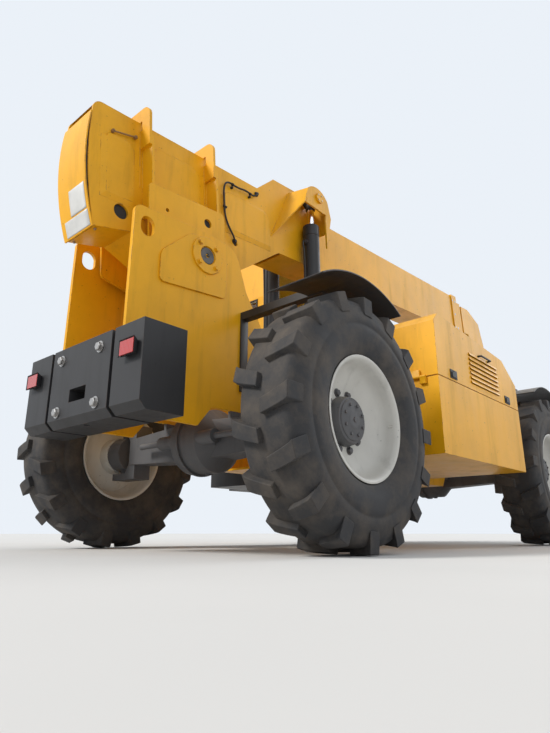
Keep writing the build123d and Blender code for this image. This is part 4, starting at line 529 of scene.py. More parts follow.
def enter(name: str, data: bpy.types.ID, body: str, slot: Slot, finish: Optional[Finish]) -> Piece:
    """Puts a mesh or a curve into the scene as a piece that rides on a body.

    Args:
        name: the piece's name.
        data: its mesh or curve.
        body: the CAD body that it rides on.
        slot: the record's slot that it takes its finish from.
        finish: a finish of its own in place of the slot's.

    Returns:
        The piece.
    """
    piece = bpy.data.objects.new(name, data)
    bpy.context.scene.collection.objects.link(piece)
    data.materials.append(SHOP.material(finish or FINISHES[slot]))
    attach(piece, body)
    log.info("%s rides on %s", name, body)
    return piece


def as_piece(
    name: str, bm: Mesh, body: str, slot: Slot, finish: Optional[Finish] = None, smooth_angle: float = 35.0,
    recalc: bool = True, place: Optional[Matrix] = None,
) -> Piece:
    """Turns a bmesh into a piece that rides on a body.

    Args:
        name: the piece's name.
        bm: its mesh in metres; it is freed.
        body: the CAD body that it rides on.
        slot: the record's slot that it takes its finish from.
        finish: a finish of its own in place of the slot's.
        smooth_angle: edges flatter than this are smooth, in degrees.
        recalc: whether the normals are turned outwards.
        place: a matrix that takes the mesh to the machine's frame.

    Returns:
        The piece.
    """
    if place:
        bmesh.ops.transform(bm, matrix=place, verts=bm.verts)
    bmesh.ops.remove_doubles(bm, verts=bm.verts, dist=SAME_POINT)
    if recalc:
        bmesh.ops.recalc_face_normals(bm, faces=bm.faces)
    mesh = bpy.data.meshes.new(name)
    bm.to_mesh(mesh)
    bm.free()
    mesh.polygons.foreach_set("use_smooth", [True] * len(mesh.polygons))
    mesh.set_sharp_from_angle(angle=math.radians(smooth_angle))
    return enter(name, mesh, body, slot, finish)


def ease_edges(piece: Piece, width: float, segments: int = 2, angle: float = 35.0) -> Piece:
    """Gives a piece a live bevel on its sharp edges.

    Args:
        piece: the piece.
        width: the bevel's width in metres.
        segments: how many faces across it.
        angle: only edges sharper than this, in degrees.

    Returns:
        The piece.
    """
    bevel = piece.modifiers.new("eased_edges", "BEVEL")
    bevel.width, bevel.segments = width, segments
    bevel.limit_method, bevel.angle_limit = "ANGLE", math.radians(angle)
    bevel.harden_normals = True
    return piece


def round_off(bm: Mesh, radius: float, segments: int = 4) -> None:
    """Rounds all the edges of a mesh."""
    bmesh.ops.bevel(bm, geom=bm.edges[:], offset=radius, offset_type="OFFSET", affect="EDGES", segments=segments,
                    profile=0.5, material=-1)


def box_of(bm: Mesh, corner: Point, other: Point) -> None:
    """Adds a box.

    Args:
        bm: the mesh.
        corner: one of its corners.
        other: the opposite one.
    """
    low, high = (Vector([pick(pair) for pair in zip(corner, other)]) for pick in (min, max))
    place = Matrix.Translation((high + low) / 2) @ Matrix.Diagonal((*(high - low), 1.0))
    bmesh.ops.create_cube(bm, size=1.0, matrix=place)


def pour(bm: Mesh, part: Mesh, place: Matrix = Matrix.Identity(4)) -> None:
    """Adds one bmesh to another at a place, and frees the first.

    Args:
        bm: the mesh that grows.
        part: the mesh that is added.
        place: where it goes.
    """
    bmesh.ops.transform(part, matrix=place, verts=part.verts)
    mesh = bpy.data.meshes.new("poured")
    part.to_mesh(mesh)
    part.free()
    bm.from_mesh(mesh)
    bpy.data.meshes.remove(mesh)


def turned(bm: Mesh, centre: Point, axis: Point, steps: Profile, around: int = 32, closed: bool = False) -> None:
    """Adds a turned shape: a profile of (along, radius) points spun about an axis.

    Args:
        bm: the mesh.
        centre: where along is zero.
        axis: the direction of the axis.
        steps: (distance along the axis, radius) pairs in order.
        around: faces around.
        closed: whether the last point joins the first.
    """
    part = bmesh.new()
    verts = [part.verts.new((r, 0.0, z)) for z, r in steps]
    pairs = list(zip(verts, verts[1:])) + ([(verts[-1], verts[0])] if closed else [])
    edges = [part.edges.new(pair) for pair in pairs]
    bmesh.ops.spin(part, geom=verts + edges, cent=ORIGIN, axis=UPWARD, angle=2 * math.pi, steps=around,
                   use_merge=True)
    bmesh.ops.remove_doubles(part, verts=part.verts, dist=SAME_POINT)
    bmesh.ops.recalc_face_normals(part, faces=part.faces)
    pour(bm, part, Matrix.Translation(centre) @ Vector(axis).to_track_quat("Z", "Y").to_matrix().to_4x4())


def boss(bm: Mesh, centre: Point, axis: Point, r: float, height: float, around: int = 24, ease: Spot = (0, 0)) -> None:
    """Adds a solid round boss.

    Args:
        bm: the mesh.
        centre: the middle of its foot.
        axis: the way that it stands.
        r: its radius.
        height: its height.
        around: faces around.
        ease: how far its top edge is eased, along and inwards.
    """
    edge = [(height - ease[0], r)] if any(ease) else []
    turned(bm, centre, axis, [(0.0, 0.0), (0.0, r), *edge, (height, r - ease[1]), (height, 0.0)], around)


def roller(bm: Mesh, centre: Point, axis: Point, r: float, width: float, ease: Spot) -> None:
    """Adds a solid roller whose two edges are eased, along and inwards."""
    (along, inward), rim = ease, r - ease[1]
    turned(bm, centre, axis, ((0.0, 0.0), (0.0, rim), (along, r), (width - along, r), (width, rim), (width, 0.0)), 40)


def band(bm: Mesh, centre: Point, axis: Point, radii: Spot, ends: Spot, around: int) -> None:
    """Adds a ring of plain section between two radii and two places along its axis."""
    (inner, outer), (low, high) = radii, ends
    turned(bm, centre, axis, ((low, inner), (low, outer), (high, outer), (high, inner)), around, closed=True)


def bolt(bm: Mesh, centre: Point, axis: Point, across: float, washer: bool = True) -> None:
    """Adds a hexagon bolt head.

    Args:
        bm: the mesh.
        centre: the middle of its seat.
        axis: the way that it points.
        across: the width across its corners.
        washer: whether it has one under it.
    """
    r = across / 2
    if washer:
        boss(bm, centre, axis, r * 1.35, r * 0.22, 20)
    boss(bm, centre, axis, r, r, 6, (r * 0.15, r * 0.18))


def spaced(count: int, radius: float, first: float = 0.0) -> list[Spot]:
    """Evenly spaced points on a circle, the first one a share of a step on."""
    turns = [2 * math.pi * (first + k) / count for k in range(count)]
    return [(radius * math.cos(a), radius * math.sin(a)) for a in turns]


def plate(bm: Mesh, outline: Profile, y: float, thickness: float, radius: float = 0.0) -> None:
    """Adds a flat plate whose outline is given in the side view.

    Args:
        bm: the mesh.
        outline: its (x, z) corners.
        y: where its first face stands.
        thickness: how far it goes from there, with the sign of the way.
        radius: its corners' radius.
    """
    part = bmesh.new()
    part.faces.new([part.verts.new((x, y, z)) for x, z in outline])
    if radius:
        bmesh.ops.bevel(part, geom=part.verts[:], offset=radius, offset_type="OFFSET", affect="VERTICES", segments=6,
                        profile=0.5, material=-1)
    grown = bmesh.ops.extrude_face_region(part, geom=part.faces[:])
    moved = [g for g in grown["geom"] if isinstance(g, bmesh.types.BMVert)]
    bmesh.ops.translate(part, vec=(0, thickness, 0), verts=moved)
    bmesh.ops.recalc_face_normals(part, faces=part.faces)
    pour(bm, part)


def run_of(
    name: str, runs: Sequence[Sequence[Point]], radius: float, body: str, slot: Slot, finish: Optional[Finish] = None,
    place: Matrix = Matrix.Identity(4), smooth: bool = True, ripple: float = 0.0,
) -> Piece:
    """Round bars, pipes or weld beads along lines.

    Args:
        name: the piece's name.
        runs: the points of each line.
        radius: the bar's radius in metres.
        body: the body that it rides on.
        slot: its material slot.
        finish: a finish of its own.
        place: a matrix that takes the points to the machine's frame.
        smooth: whether the line is rounded at its points.
        ripple: how much a weld's radius varies, as a share.

    Returns:
        The piece.
    """
    data = bpy.data.curves.new(name, "CURVE")
    data.dimensions = "3D"
    data.bevel_depth, data.bevel_resolution, data.use_fill_caps = radius, 3, True
    for run in runs:
        points = [Vector(point) for point in run]
        if ripple:
            fine = []
            for a, b in zip(points, points[1:]):
                count = max(2, int((b - a).length / (radius * 1.2)))
                fine += [a.lerp(b, k / count) for k in range(count)]
            points = fine + points[-1:]
        spline = data.splines.new("NURBS" if smooth else "POLY")
        spline.points.add(len(points) - 1)
        for k, (point, target) in enumerate(zip(points, spline.points)):
            target.co = (*(place @ point), 1.0)
            target.radius = 1.0 + ripple * (0.5 if k % 2 else -0.5) + ripple * 0.6 * (random.random() - 0.5)
        if smooth:
            spline.order_u = 3
            spline.use_endpoint_u = True
    return enter(name, data, body, slot, finish)


def joint(name: str) -> dict:
    """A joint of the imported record."""
    return next(j for j in frame["joints"] if j["name"] == name)


def boom_place(s_pivot: float = 0.655, d_pivot: float = -0.832, angle: float = 4.5) -> Matrix:
    """The boom's own side view: X forward along its top edge, Z up from it, from its rear top corner.

    Args:
        s_pivot: how far forward the lift pivot is.
        d_pivot: how far up it is.
        angle: the boom's slope at rest, in degrees.

    Returns:
        The matrix from that view to the machine's frame.
    """
    turn = Matrix.Rotation(-math.radians(angle), 4, "Y")
    return Matrix.Translation(joint("boom_lift")["pos_m"]) @ turn @ Matrix.Translation((-s_pivot, 0, -d_pivot))


BOOM = boom_place()
LIFT_PIN = (1.908, 0.072)
REAR_X = joint("spin_rear_left")["pos_m"][0]


@dataclass(frozen=True)
class Refinish:
    """A rigid CAD node shown through a copy whose plate edges are eased, as cut and ground steel is."""

    node: str
    slot: Slot
    joined: bool = True
    finish: Optional[Finish] = None
    edge: float = 0.002
    flat: float = 0.6

    def build(self) -> Piece:
        """Copies and merges the node's mesh, joins its flat triangles and bevels what is sharp.

        Returns:
            The piece that stands for the node.
        """
        source = frame["nodes"][self.node]
        bm = bmesh.new()
        bm.from_mesh(source.data)
        bmesh.ops.remove_doubles(bm, verts=bm.verts, dist=1e-5)
        bmesh.ops.dissolve_degenerate(bm, dist=SAME_POINT, edges=bm.edges)
        if self.joined:
            bmesh.ops.dissolve_limit(bm, angle_limit=math.radians(self.flat), verts=bm.verts, edges=bm.edges)
        piece = as_piece(f"{self.node}_dressed", bm, source["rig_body"], self.slot, self.finish, 32.0, recalc=False)
        ease_edges(piece, self.edge)
        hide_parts(self.node)
        return piece


def refinish_all() -> None:
    """Gives every CAD node its slot's finish, and eased edges where no piece of the scene stands for it."""
    replaced = ("tyre_", "rim_", "lift_barrel_", "lift_rod_", "tilt_", "lamps", "controls", "seat", "boom_line",
                "chassis_pins", "exhaust")
    slots = {s["node"]: Slot(s["material_slot"]) for s in frame["record"]["subparts"]}
    for node, slot in sorted(slots.items()):
        if node.startswith(replaced):
            continue
        if slot is Slot.GLASS:
            mesh = frame["nodes"][node].data
            mesh.materials.clear()
            mesh.materials.append(SHOP.material(FINISHES[slot]))
        else:
            painted = FINISHES[Slot.PAINT] if node == "boom_pins" else None
            Refinish(node, slot, node != "cab_shell", painted).build()


@dataclass
class Wheel:
    """One steered wheel: moulded tyre with two rows of slanted lugs, pressed rim, hub and nuts."""

    name: str
    side: Side
    radius: float = 0.645
    half_width: float = 0.1725
    bead: float = 0.305
    lug_depth: float = 0.03
    lug_slant: float = 0.055
    lugs: int = 16
    lug_w: float = 0.040
    lug_narrows: float = 0.006
    nut_circle: float = 0.150
    nut_across: float = 0.034
    cover_circle: float = 0.080
    cover_bolt_across: float = 0.017
    around: int = 96

    def __post_init__(self) -> None:
        """Finds the wheel's middle from its joint, and the turn from wheel to machine."""
        x, y, z = joint(f"spin_{self.name}")["pos_m"]
        out = self.side.value
        self.body = f"wheel_{self.name}"
        self.place = Matrix(((1, 0, 0, x), (0, 0, out, y), (0, -out, 0, z), (0, 0, 0, 1)))

    def lug(self, bm: Mesh, half: int, angle: float) -> None:
        """Adds one slanted lug, warped from a divided block onto the tread.

        Args:
            bm: the tyre's mesh.
            half: 1 for the outer row, -1 for the inner one.
            angle: where it stands around the wheel.
        """
        part = bmesh.new()
        bmesh.ops.create_cube(part, size=1.0)
        long_edges = [e for e in part.edges if abs(e.verts[0].co.x - e.verts[1].co.x) > 0.5]
        bmesh.ops.subdivide_edges(part, edges=long_edges, cuts=5, use_grid_fill=True)
        for vert in part.verts:
            along, across, up = vert.co.x + 0.5, vert.co.y * 2, vert.co.z + 0.5
            z = half * (self.half_width - 0.004 - along * (self.half_width - 0.016))
            if along < 1e-4:
                z -= half * 0.004 * up
            hollow = 0.028 if along > 0.15 else 0.075
            r = self.radius - 0.001 - (1 - up) * (self.lug_depth + hollow) - 0.004 * (1 - along) ** 2
            width = (self.lug_w - self.lug_narrows * along) * (1.0 if up > 0.5 else 1.2)
            slant = self.lug_slant * (along ** 0.8 - 0.5)
            turn = angle + (slant + across * width) / self.radius
            vert.co = (r * math.cos(turn), r * math.sin(turn), z)
        bmesh.ops.recalc_face_normals(part, faces=part.faces)
        pour(bm, part)

    def tyre(self) -> None:
        """Builds the tyre, which stands for its CAD node."""
        w, bead, base = self.half_width, self.bead, self.radius - self.lug_depth
        half_profile = (
            (w - 0.047, bead + 0.001), (w - 0.040, bead + 0.014), (w - 0.026, bead + 0.026), (w - 0.022, bead + 0.040),
            (w - 0.010, bead + 0.062), (w - 0.002, bead + 0.100), (w, bead + 0.135), (w - 0.0005, bead + 0.160),
            (w - 0.004, bead + 0.166), (w - 0.004, bead + 0.176), (w - 0.001, bead + 0.182), (w - 0.004, bead + 0.215),
            (w - 0.009, bead + 0.235), (w - 0.018, base - 0.045), (w - 0.030, base - 0.018), (w - 0.050, base - 0.004),
            (w - 0.090, base),
        )
        profile = list(half_profile) + [(-z, r) for z, r in reversed(half_profile)]
        bm = bmesh.new()
        turned(bm, ORIGIN, UPWARD, profile, self.around, closed=True)
        pitch = 2 * math.pi / self.lugs
        for half in (1, -1):
            first = -math.pi / 2 + (pitch / 2 if half < 0 else 0.0)
            for step in range(self.lugs):
                self.lug(bm, half, first + step * pitch)
        piece = as_piece(f"tyre_{self.name}_moulded", bm, self.body, Slot.TYRE, smooth_angle=40, place=self.place)
        ease_edges(piece, 0.005, 2, 50)
        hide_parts(f"tyre_{self.name}")

    def rim(self) -> None:
        """Builds the pressed rim with its disc and valve, which stands for its CAD node."""
        profile = (
            (0.1375, 0.3045), (0.139, 0.318), (0.144, 0.319), (0.146, 0.312), (0.1395, 0.300), (0.118, 0.291),
            (0.088, 0.287), (0.062, 0.276), (0.046, 0.262), (0.032, 0.244), (0.014, 0.214), (0.001, 0.186),
            (-0.004, 0.172), (-0.004, 0.128), (-0.030, 0.120), (-0.115, 0.120), (-0.1185, 0.116), (-0.1185, 0.124),
            (-0.034, 0.128), (-0.016, 0.200), (0.006, 0.245), (-0.010, 0.268), (-0.060, 0.282), (-0.112, 0.290),
            (-0.1375, 0.300), (-0.1455, 0.312), (-0.144, 0.319), (-0.139, 0.318),
        )
        valve = ((0, 0.006), (0.03, 0.006), (0.04, 0.0045), (0.052, 0.0045), (0.052, 0))
        bm = bmesh.new()
        turned(bm, ORIGIN, UPWARD, profile, self.around, closed=True)
        turned(bm, (0.285, 0.0, 0.092), (0.5, 0.0, 1.0), valve, 12)
        piece = as_piece(f"rim_{self.name}_pressed", bm, self.body, Slot.RIM_PAINT, smooth_angle=50, place=self.place)
        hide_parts(f"rim_{self.name}")

    def hub(self) -> None:
        """Builds the hub's reduction housing, its wheel nuts and its cover bolts."""
        housing = (
            (-0.112, 0.0), (-0.112, 0.112), (-0.004, 0.116), (-0.004, 0.127), (0.004, 0.129), (0.040, 0.122),
            (0.052, 0.117), (0.055, 0.106), (0.060, 0.104), (0.064, 0.096), (0.066, 0.050), (0.069, 0.046),
            (0.071, 0.034), (0.071, 0.0),
        )
        bm = bmesh.new()
        turned(bm, ORIGIN, UPWARD, housing, 64)
        for x, y in spaced(10, self.nut_circle):
            bolt(bm, (x, y, -0.0045), UPWARD, self.nut_across)
        for x, y in spaced(8, self.cover_circle, 0.5):
            bolt(bm, (x, y, 0.0645), UPWARD, self.cover_bolt_across, False)
        turned(bm, (0, 0, 0.0705), UPWARD, ((0, 0.014), (0.004, 0.014), (0.005, 0.012), (0.005, 0.0)), 6)
        as_piece(f"hub_{self.name}", bm, self.body, Slot.AXLE_PAINT, place=self.place)

    def build(self) -> None:
        """Builds the whole wheel."""
        self.tyre()
        self.rim()
        self.hub()


@dataclass
class Ram:
    """A hydraulic ram: painted barrel with gland, ports and base eye, chrome rod, black shank and eye."""

    barrel_node: str
    rod_node: str
    base: Point
    tip: Point
    barrel_r: float
    rod_r: float
    shank_r: float
    base_r: float
    base_w: float
    eye_r: float
    eye_w: float
    shank: float
    neck: float = 0.230
    port: float = 0.09
    gland: float = 0.16
    inside: float = 0.9

    def __post_init__(self) -> None:
        """Works out the ram's line and the side that its ports are on."""
        self.base, self.tip = Vector(self.base), Vector(self.tip)
        line = self.tip - self.base
        self.length, self.axis = line.length, line.normalized()
        self.end = self.length - self.neck
        self.back = Vector((-self.axis.z, 0, self.axis.x))

    def barrel(self) -> None:
        """Builds the barrel, which stands for its CAD node."""
        end, r, rod, foot = self.end, self.barrel_r, self.rod_r, self.base_r * 0.6
        bm = bmesh.new()
        turned(bm, self.base, self.axis, (
            (foot, 0.0), (foot, r * 0.82), (foot + 0.02, r * 0.98), (foot + 0.03, r), (end - 0.100, r),
            (end - 0.098, r * 0.955), (end - 0.092, r * 0.955), (end - 0.090, r), (end - 0.004, r), (end, r * 0.96),
            (end, rod * 1.22), (end - 0.003, rod * 1.2), (end - 0.003, rod * 1.02), (end - 0.05, rod * 1.02),
            (end - 0.05, 0.0),
        ), 48)
        roller(bm, self.base - Vector((0, self.base_w / 2, 0)), LEFTWARD, self.base_r, self.base_w,
               (0.005, self.base_r * 0.08))
        for along in (self.base_r + self.port, end - self.gland):
            seat = self.base + self.axis * along + self.back * (r - 0.004)
            boss(bm, seat, self.back, 0.021, 0.020, 24, (0.002, 0.003))
            boss(bm, seat + self.back * 0.019, self.back, 0.016, 0.014, 6)
        piece = as_piece(f"{self.barrel_node}_turned", bm, self.barrel_node, Slot.DARK_PAINT, smooth_angle=40)
        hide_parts(self.barrel_node)

    def feed(self) -> None:
        """Builds the steel pipe that runs up the barrel from the lower port to the gland's."""
        low, high = self.base_r + self.port, self.end - self.gland
        rise = ((0.0, 0.02), (0.0, 0.036), (0.04, 0.042), (0.09, 0.020))
        spots = [(low + along, out) for along, out in rise] + [(high - along, out) for along, out in reversed(rise)]
        points = [self.base + self.axis * along + self.back * (self.barrel_r + out) for along, out in spots]
        run_of(f"{self.barrel_node}_pipe", [points], 0.007, self.barrel_node, Slot.DARK_PAINT)

    def bar(self, ends: Spot, r: float, lead: float) -> Mesh:
        """Starts a mesh with a round bar on the ram's line, eased at its first end.

        Args:
            ends: where it starts and ends.
            r: its radius.
            lead: the radius that its first end is eased to, as a share.

        Returns:
            The mesh.
        """
        start, end = ends
        bm = bmesh.new()
        steps = ((start, 0.0), (start, r * lead), (start + 0.005, r), (end, r), (end, 0.0))
        turned(bm, self.base, self.axis, steps, 48)
        return bm

    def rod(self) -> None:
        """Builds the chrome rod, which stands for the rod's CAD node."""
        bm = self.bar((self.end - self.inside, self.length - self.shank + 0.004), self.rod_r, 0.96)
        piece = as_piece(f"{self.rod_node}_chrome", bm, self.rod_node, Slot.CHROME, smooth_angle=40)
        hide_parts(self.rod_node)

    def eye(self) -> None:
        """Builds the black shank and the eye at the rod's tip."""
        bm = self.bar((self.length - self.shank, self.length - self.eye_r * 0.5), self.shank_r, 0.9)
        foot = self.tip - Vector((0, self.eye_w / 2, 0))
        roller(bm, foot, LEFTWARD, self.eye_r, self.eye_w, (0.004, self.eye_r * 0.1))
        as_piece(f"{self.rod_node}_eye", bm, self.rod_node, Slot.DARK_PAINT, smooth_angle=40)

    def build(self) -> None:
        """Builds the whole ram."""
        self.barrel()
        self.feed()
        self.rod()
        self.eye()


def rams(tilt_length: float = 0.95) -> list[Ram]:
    """The two lift rams and the tilt ram, from the joints' places.

    Args:
        tilt_length: the tilt ram's length at rest, from pin to pin.

    Returns:
        The rams.
    """
    pin = BOOM @ Vector((LIFT_PIN[0], 0.0, LIFT_PIN[1]))
    made = []
    for name in ("right", "left"):
        base = joint(f"lift_barrel_{name}_pivot")["pos_m"]
        made.append(Ram(
            f"lift_barrel_{name}", f"lift_rod_{name}", base, (pin.x, base[1], pin.z), barrel_r=0.066, rod_r=0.029,
            shank_r=0.039, base_r=0.066, base_w=0.100, eye_r=0.050, eye_w=0.090, shank=0.080,
        ))
    base = Vector(joint("tilt_barrel_pivot")["pos_m"])
    tip = base + Vector(joint("tilt_rod_slide")["axis"]) * tilt_length
    made.append(Ram(
        "tilt_barrel", "tilt_rod", base, tip, barrel_r=0.052, rod_r=0.026, shank_r=0.032, base_r=0.046, base_w=0.090,
        eye_r=0.042, eye_w=0.070, shank=0.075,
    ))
    return made


def bowed(ends: tuple[Vector, Vector], bow: float) -> tuple[Vector, float, Vector]:
    """The arc of an edge that is bowed towards the rear.

    Args:
        ends: its top and its bottom.
        bow: how far its middle stands out.

    Returns:
        Its centre, its radius and the way from the centre to its middle.
    """
    top, low = ends
    chord = low - top
    radius = (chord.length ** 2 / 4 + bow ** 2) / (2 * bow)
    out = Vector((chord.y, -chord.x)).normalized()
    out = -out if out.x > 0 else out
    return (top + low) / 2 - out * (radius - bow), radius, out


@dataclass
class TailDress:
    """What the boom's tail carries beyond its plates: welds, blank stickers, black discs and strips of painted shade
    in its holes and its cover's gap, fairings and screws.
    """

    half_w: float = 0.140
    plate_t: float = 0.008
    plate_low: float = -0.44
    ribs: tuple[float, ...] = (0.298, 0.812)
    rib_t: float = 0.018
    doublers: tuple[tuple[float, float, float, float, float], ...] = (
        (0.070, 0.252, -0.178, -0.560, 0.055),
        (0.400, 0.766, -0.118, -0.445, 0.085),
        (1.000, 1.458, -0.166, -0.445, 0.085),
    )
    cover_top: Spot = (-0.033, -0.088)
    cover_low: Spot = (-0.008, -0.798)
    cover_bow: float = 0.043
    plate_rear: tuple[Spot, ...] = ((-0.010, 0.0), (-0.041, -0.395), (0.0, -0.790))
    bead_r: float = 0.0035
    fairing_w: float = 0.037
    holes: tuple[tuple[float, float, float, float], ...] = (
        (0.172, -0.645, 0.050, 0.1238),
        (1.090, -0.537, 0.024, 0.1238),
        (0.734, -0.560, 0.0340, 0.2358),
        (0.415, -0.589, 0.0150, 0.2358),
    )
    pad_bolts: tuple[Spot, ...] = ((4.790, -0.060), (4.860, -0.060), (4.790, -0.400), (4.860, -0.400), (4.825, -0.230))
    pad_bolt_across: float = 0.030
    pin_cap_y: float = 0.3193
    cap_screw_circle: float = 0.030
    cap_screw_across: float = 0.011
    cover_screw: Point = (0.030, 0.11, -0.7925)
    cover_screw_across: float = 0.014
    rib_weld_top: float = -0.075
    bracket_weld: tuple[Spot, Spot] = ((1.718, 0.110), (1.474, -0.345))
    # Thickness of the black discs that paint the shade inside the holes.
    shade_disc_t: float = 0.002
    # Place, width and setback of the black strips that paint the shade in the cover's gap.
    gap_shade_y: float = 0.1275
    gap_shade_w: float = 0.006
    gap_shade_behind: float = -0.0085
    film_off: float = 0.0012
    film_t: float = 0.0008

    def cover_at(self, share: float, proud: float) -> Spot:
        """A point on the bowed cover's outer face.

        Args:
            share: 0 at the top, 1 at the bottom.
            proud: how far it stands off, in metres.

        Returns:
            Its (s, d).
        """
        top, low = Vector(self.cover_top), Vector(self.cover_low)
        centre, radius, out = bowed((top, low), self.cover_bow)
        turn = 2 * math.asin((low - top).length / 2 / radius) * (share - 0.5)
        way = out * math.cos(turn) + (low - top).normalized() * math.sin(turn)
        return tuple(centre + way * (radius + proud))

    def sticker(self, name: str, shares: Spot, ys: Spot) -> None:
        """Lays a blank white sticker on the cover.

        Args:
            name: the piece's name.
            shares: the shares of the cover's height where it starts and ends.
            ys: its edges on the right and on the left.
        """
        (low, high), (y_low, y_high) = shares, ys
        bm = bmesh.new()
        bmesh.ops.create_grid(bm, x_segments=6, y_segments=12, size=0.5)
        for vert in bm.verts:
            s, d = self.cover_at(low + (vert.co.y + 0.5) * (high - low), self.film_off)
            vert.co = (s, y_low + (vert.co.x + 0.5) * (y_high - y_low), d)
        piece = as_piece(name, bm, "boom", Slot.PAINT, STICKER, place=BOOM)
        film = piece.modifiers.new("film", "SOLIDIFY")
        film.thickness, film.offset = self.film_t, 0.0

    def welds(self) -> None:
        """Builds the weld beads along the ribs' feet, round the doublers and at the ram brackets."""
        runs = []
        for side in SIDES:
            y = side * (self.half_w + 0.001)
            for s in self.ribs:
                for edge in (s - 0.0005, s + self.rib_t + 0.0005):
                    runs.append([(edge, y, self.rib_weld_top), (edge, y, self.plate_low)])
            y = side * (self.half_w + self.plate_t * 0.45)
            for rear, front, top, low, corner in self.doublers:
                turns = [k * math.pi / 16 for k in range(9)]
                arc = [(front - corner * (1 - math.sin(a)), y, top - corner * (1 - math.cos(a))) for a in turns]
                runs.append([(rear + corner, y, top), *arc, (front, y, max(low, self.plate_low))])
            runs.append([(s, side * self.half_w, d) for s, d in self.bracket_weld])
        run_of("boom_welds", runs, self.bead_r, "boom", Slot.PAINT, place=BOOM, smooth=False, ripple=0.35)

    def screws(self) -> None:
        """Builds the wear pads' bolts at the boom's mouth, the pin caps' screws and the cover's screws."""
        bm = bmesh.new()
        for side in SIDES:
            out = (0, side, 0)
            for s, d in self.pad_bolts:
                bolt(bm, (s, side * self.half_w, d), out, self.pad_bolt_across)
            for s, d in spaced(4, self.cap_screw_circle, 0.5):
                spot = (LIFT_PIN[0] + s, side * self.pin_cap_y, LIFT_PIN[1] + d)
                bolt(bm, spot, out, self.cap_screw_across, False)
            s, y, d = self.cover_screw
            bolt(bm, (s, side * y, d), (0, 0, -1), self.cover_screw_across)
        as_piece("boom_screws", bm, "boom", Slot.PIN, smooth_angle=30, place=BOOM)

    def shade_discs(self) -> None:
        """Builds black discs just inside the side plates' and the pivot plates' holes, as painted shade for the dark
        inside of the holes.
        """
        bm = bmesh.new()
        for side in SIDES:
            for s, d, r, y in self.holes:
                # Each black disc stands behind a hole and paints the shade inside it.
                boss(bm, (s, side * y, d), (0, side, 0), r, self.shade_disc_t, 32, (0.0005, r * 0.1))
        as_piece("hole_plugs", bm, "boom", Slot.PLASTIC, TRIM, place=BOOM)

    def plate_edge(self, d: float) -> float:
        """Follows the side plates' bowed rear edge.

        Args:
            d: a height.

        Returns:
            How far forward the edge is there.
        """
        top, middle, low = (Vector(spot) for spot in self.plate_rear)
        centre, radius, _ = bowed((top, low), (middle - (top + low) / 2).length)
        return centre.x - math.sqrt(max(radius ** 2 - (d - centre.y) ** 2, 0.0))

    def gap_shade_strips(self) -> None:
        """Builds black strips in the gap between the cover and the side plates, as painted shade for the dark gap."""
        rear = [self.cover_at(0.015 + 0.97 * k / 20, self.gap_shade_behind) for k in range(21)]
        front = [(self.plate_edge(d) - 0.0005, d) for _, d in rear]
        bm = bmesh.new()
        for side in SIDES:
            # Black strips that paint the shade in the gap behind the cover.
            plate(bm, rear + front[::-1], side * self.gap_shade_y, side * self.gap_shade_w)
        as_piece("cover_seals", bm, "boom", Slot.PLASTIC, TRIM, smooth_angle=20, place=BOOM)

    def fairings(self) -> None:
        """Builds the slopes that let the doublers' rear and lower edges run out into the side plates."""
        bm = bmesh.new()
        w = self.fairing_w
        for side in SIDES:
            wall, face = side * (self.half_w - 0.0005), side * (self.half_w + self.plate_t)
            for rear, front, top, low, corner in self.doublers:
                part = bmesh.new()
                outer = ((rear - w, top - corner / 2), (rear - w, low - w), (front, low - w))
                inner = ((front, low + 0.001), (rear + 0.001, low + 0.001), (rear + 0.001, top - corner / 2))
                plate(part, outer + inner, wall, face - wall)
                for vert in part.verts:
                    on_rim = any(abs(vert.co.x - s) + abs(vert.co.z - d) < 1e-5 for s, d in outer)
                    if on_rim and abs(vert.co.y - face) < 1e-5:
                        vert.co.y = wall + side * 0.0012
                pour(bm, part)
        as_piece("doubler_fairings", bm, "boom", Slot.PAINT, smooth_angle=12, place=BOOM)

    def pads(self) -> None:
        """Builds the nylon wear pads that show at the mouths of the outer and middle booms."""
        for name, body, s, inner, outer, top, depth in (
            ("outer_pads", "boom", 4.865, 0.1185, 0.1255, -0.026, 0.408),
            ("middle_pads", "boom_mid", 5.045, 0.0985, 0.1075, -0.052, 0.356),
        ):
            bm = bmesh.new()
            for side in SIDES:
                for d in (top - 0.05, top - depth + 0.05):
                    box_of(bm, (s - 0.03, side * inner, d - 0.035), (s + 0.037, side * outer, d + 0.035))
            ease_edges(as_piece(name, bm, body, Slot.PLASTIC, PAD_NYLON, place=BOOM), 0.001)

    def build(self) -> None:
        """Dresses the tail."""
        self.sticker("blank_label_high", (0.640, 0.850), (-0.128, 0.030))
        self.sticker("blank_label_low", (0.862, 0.988), (-0.134, 0.105))
        self.shade_discs()
        self.gap_shade_strips()
        self.fairings()
        self.welds()
        self.screws()
        self.pads()


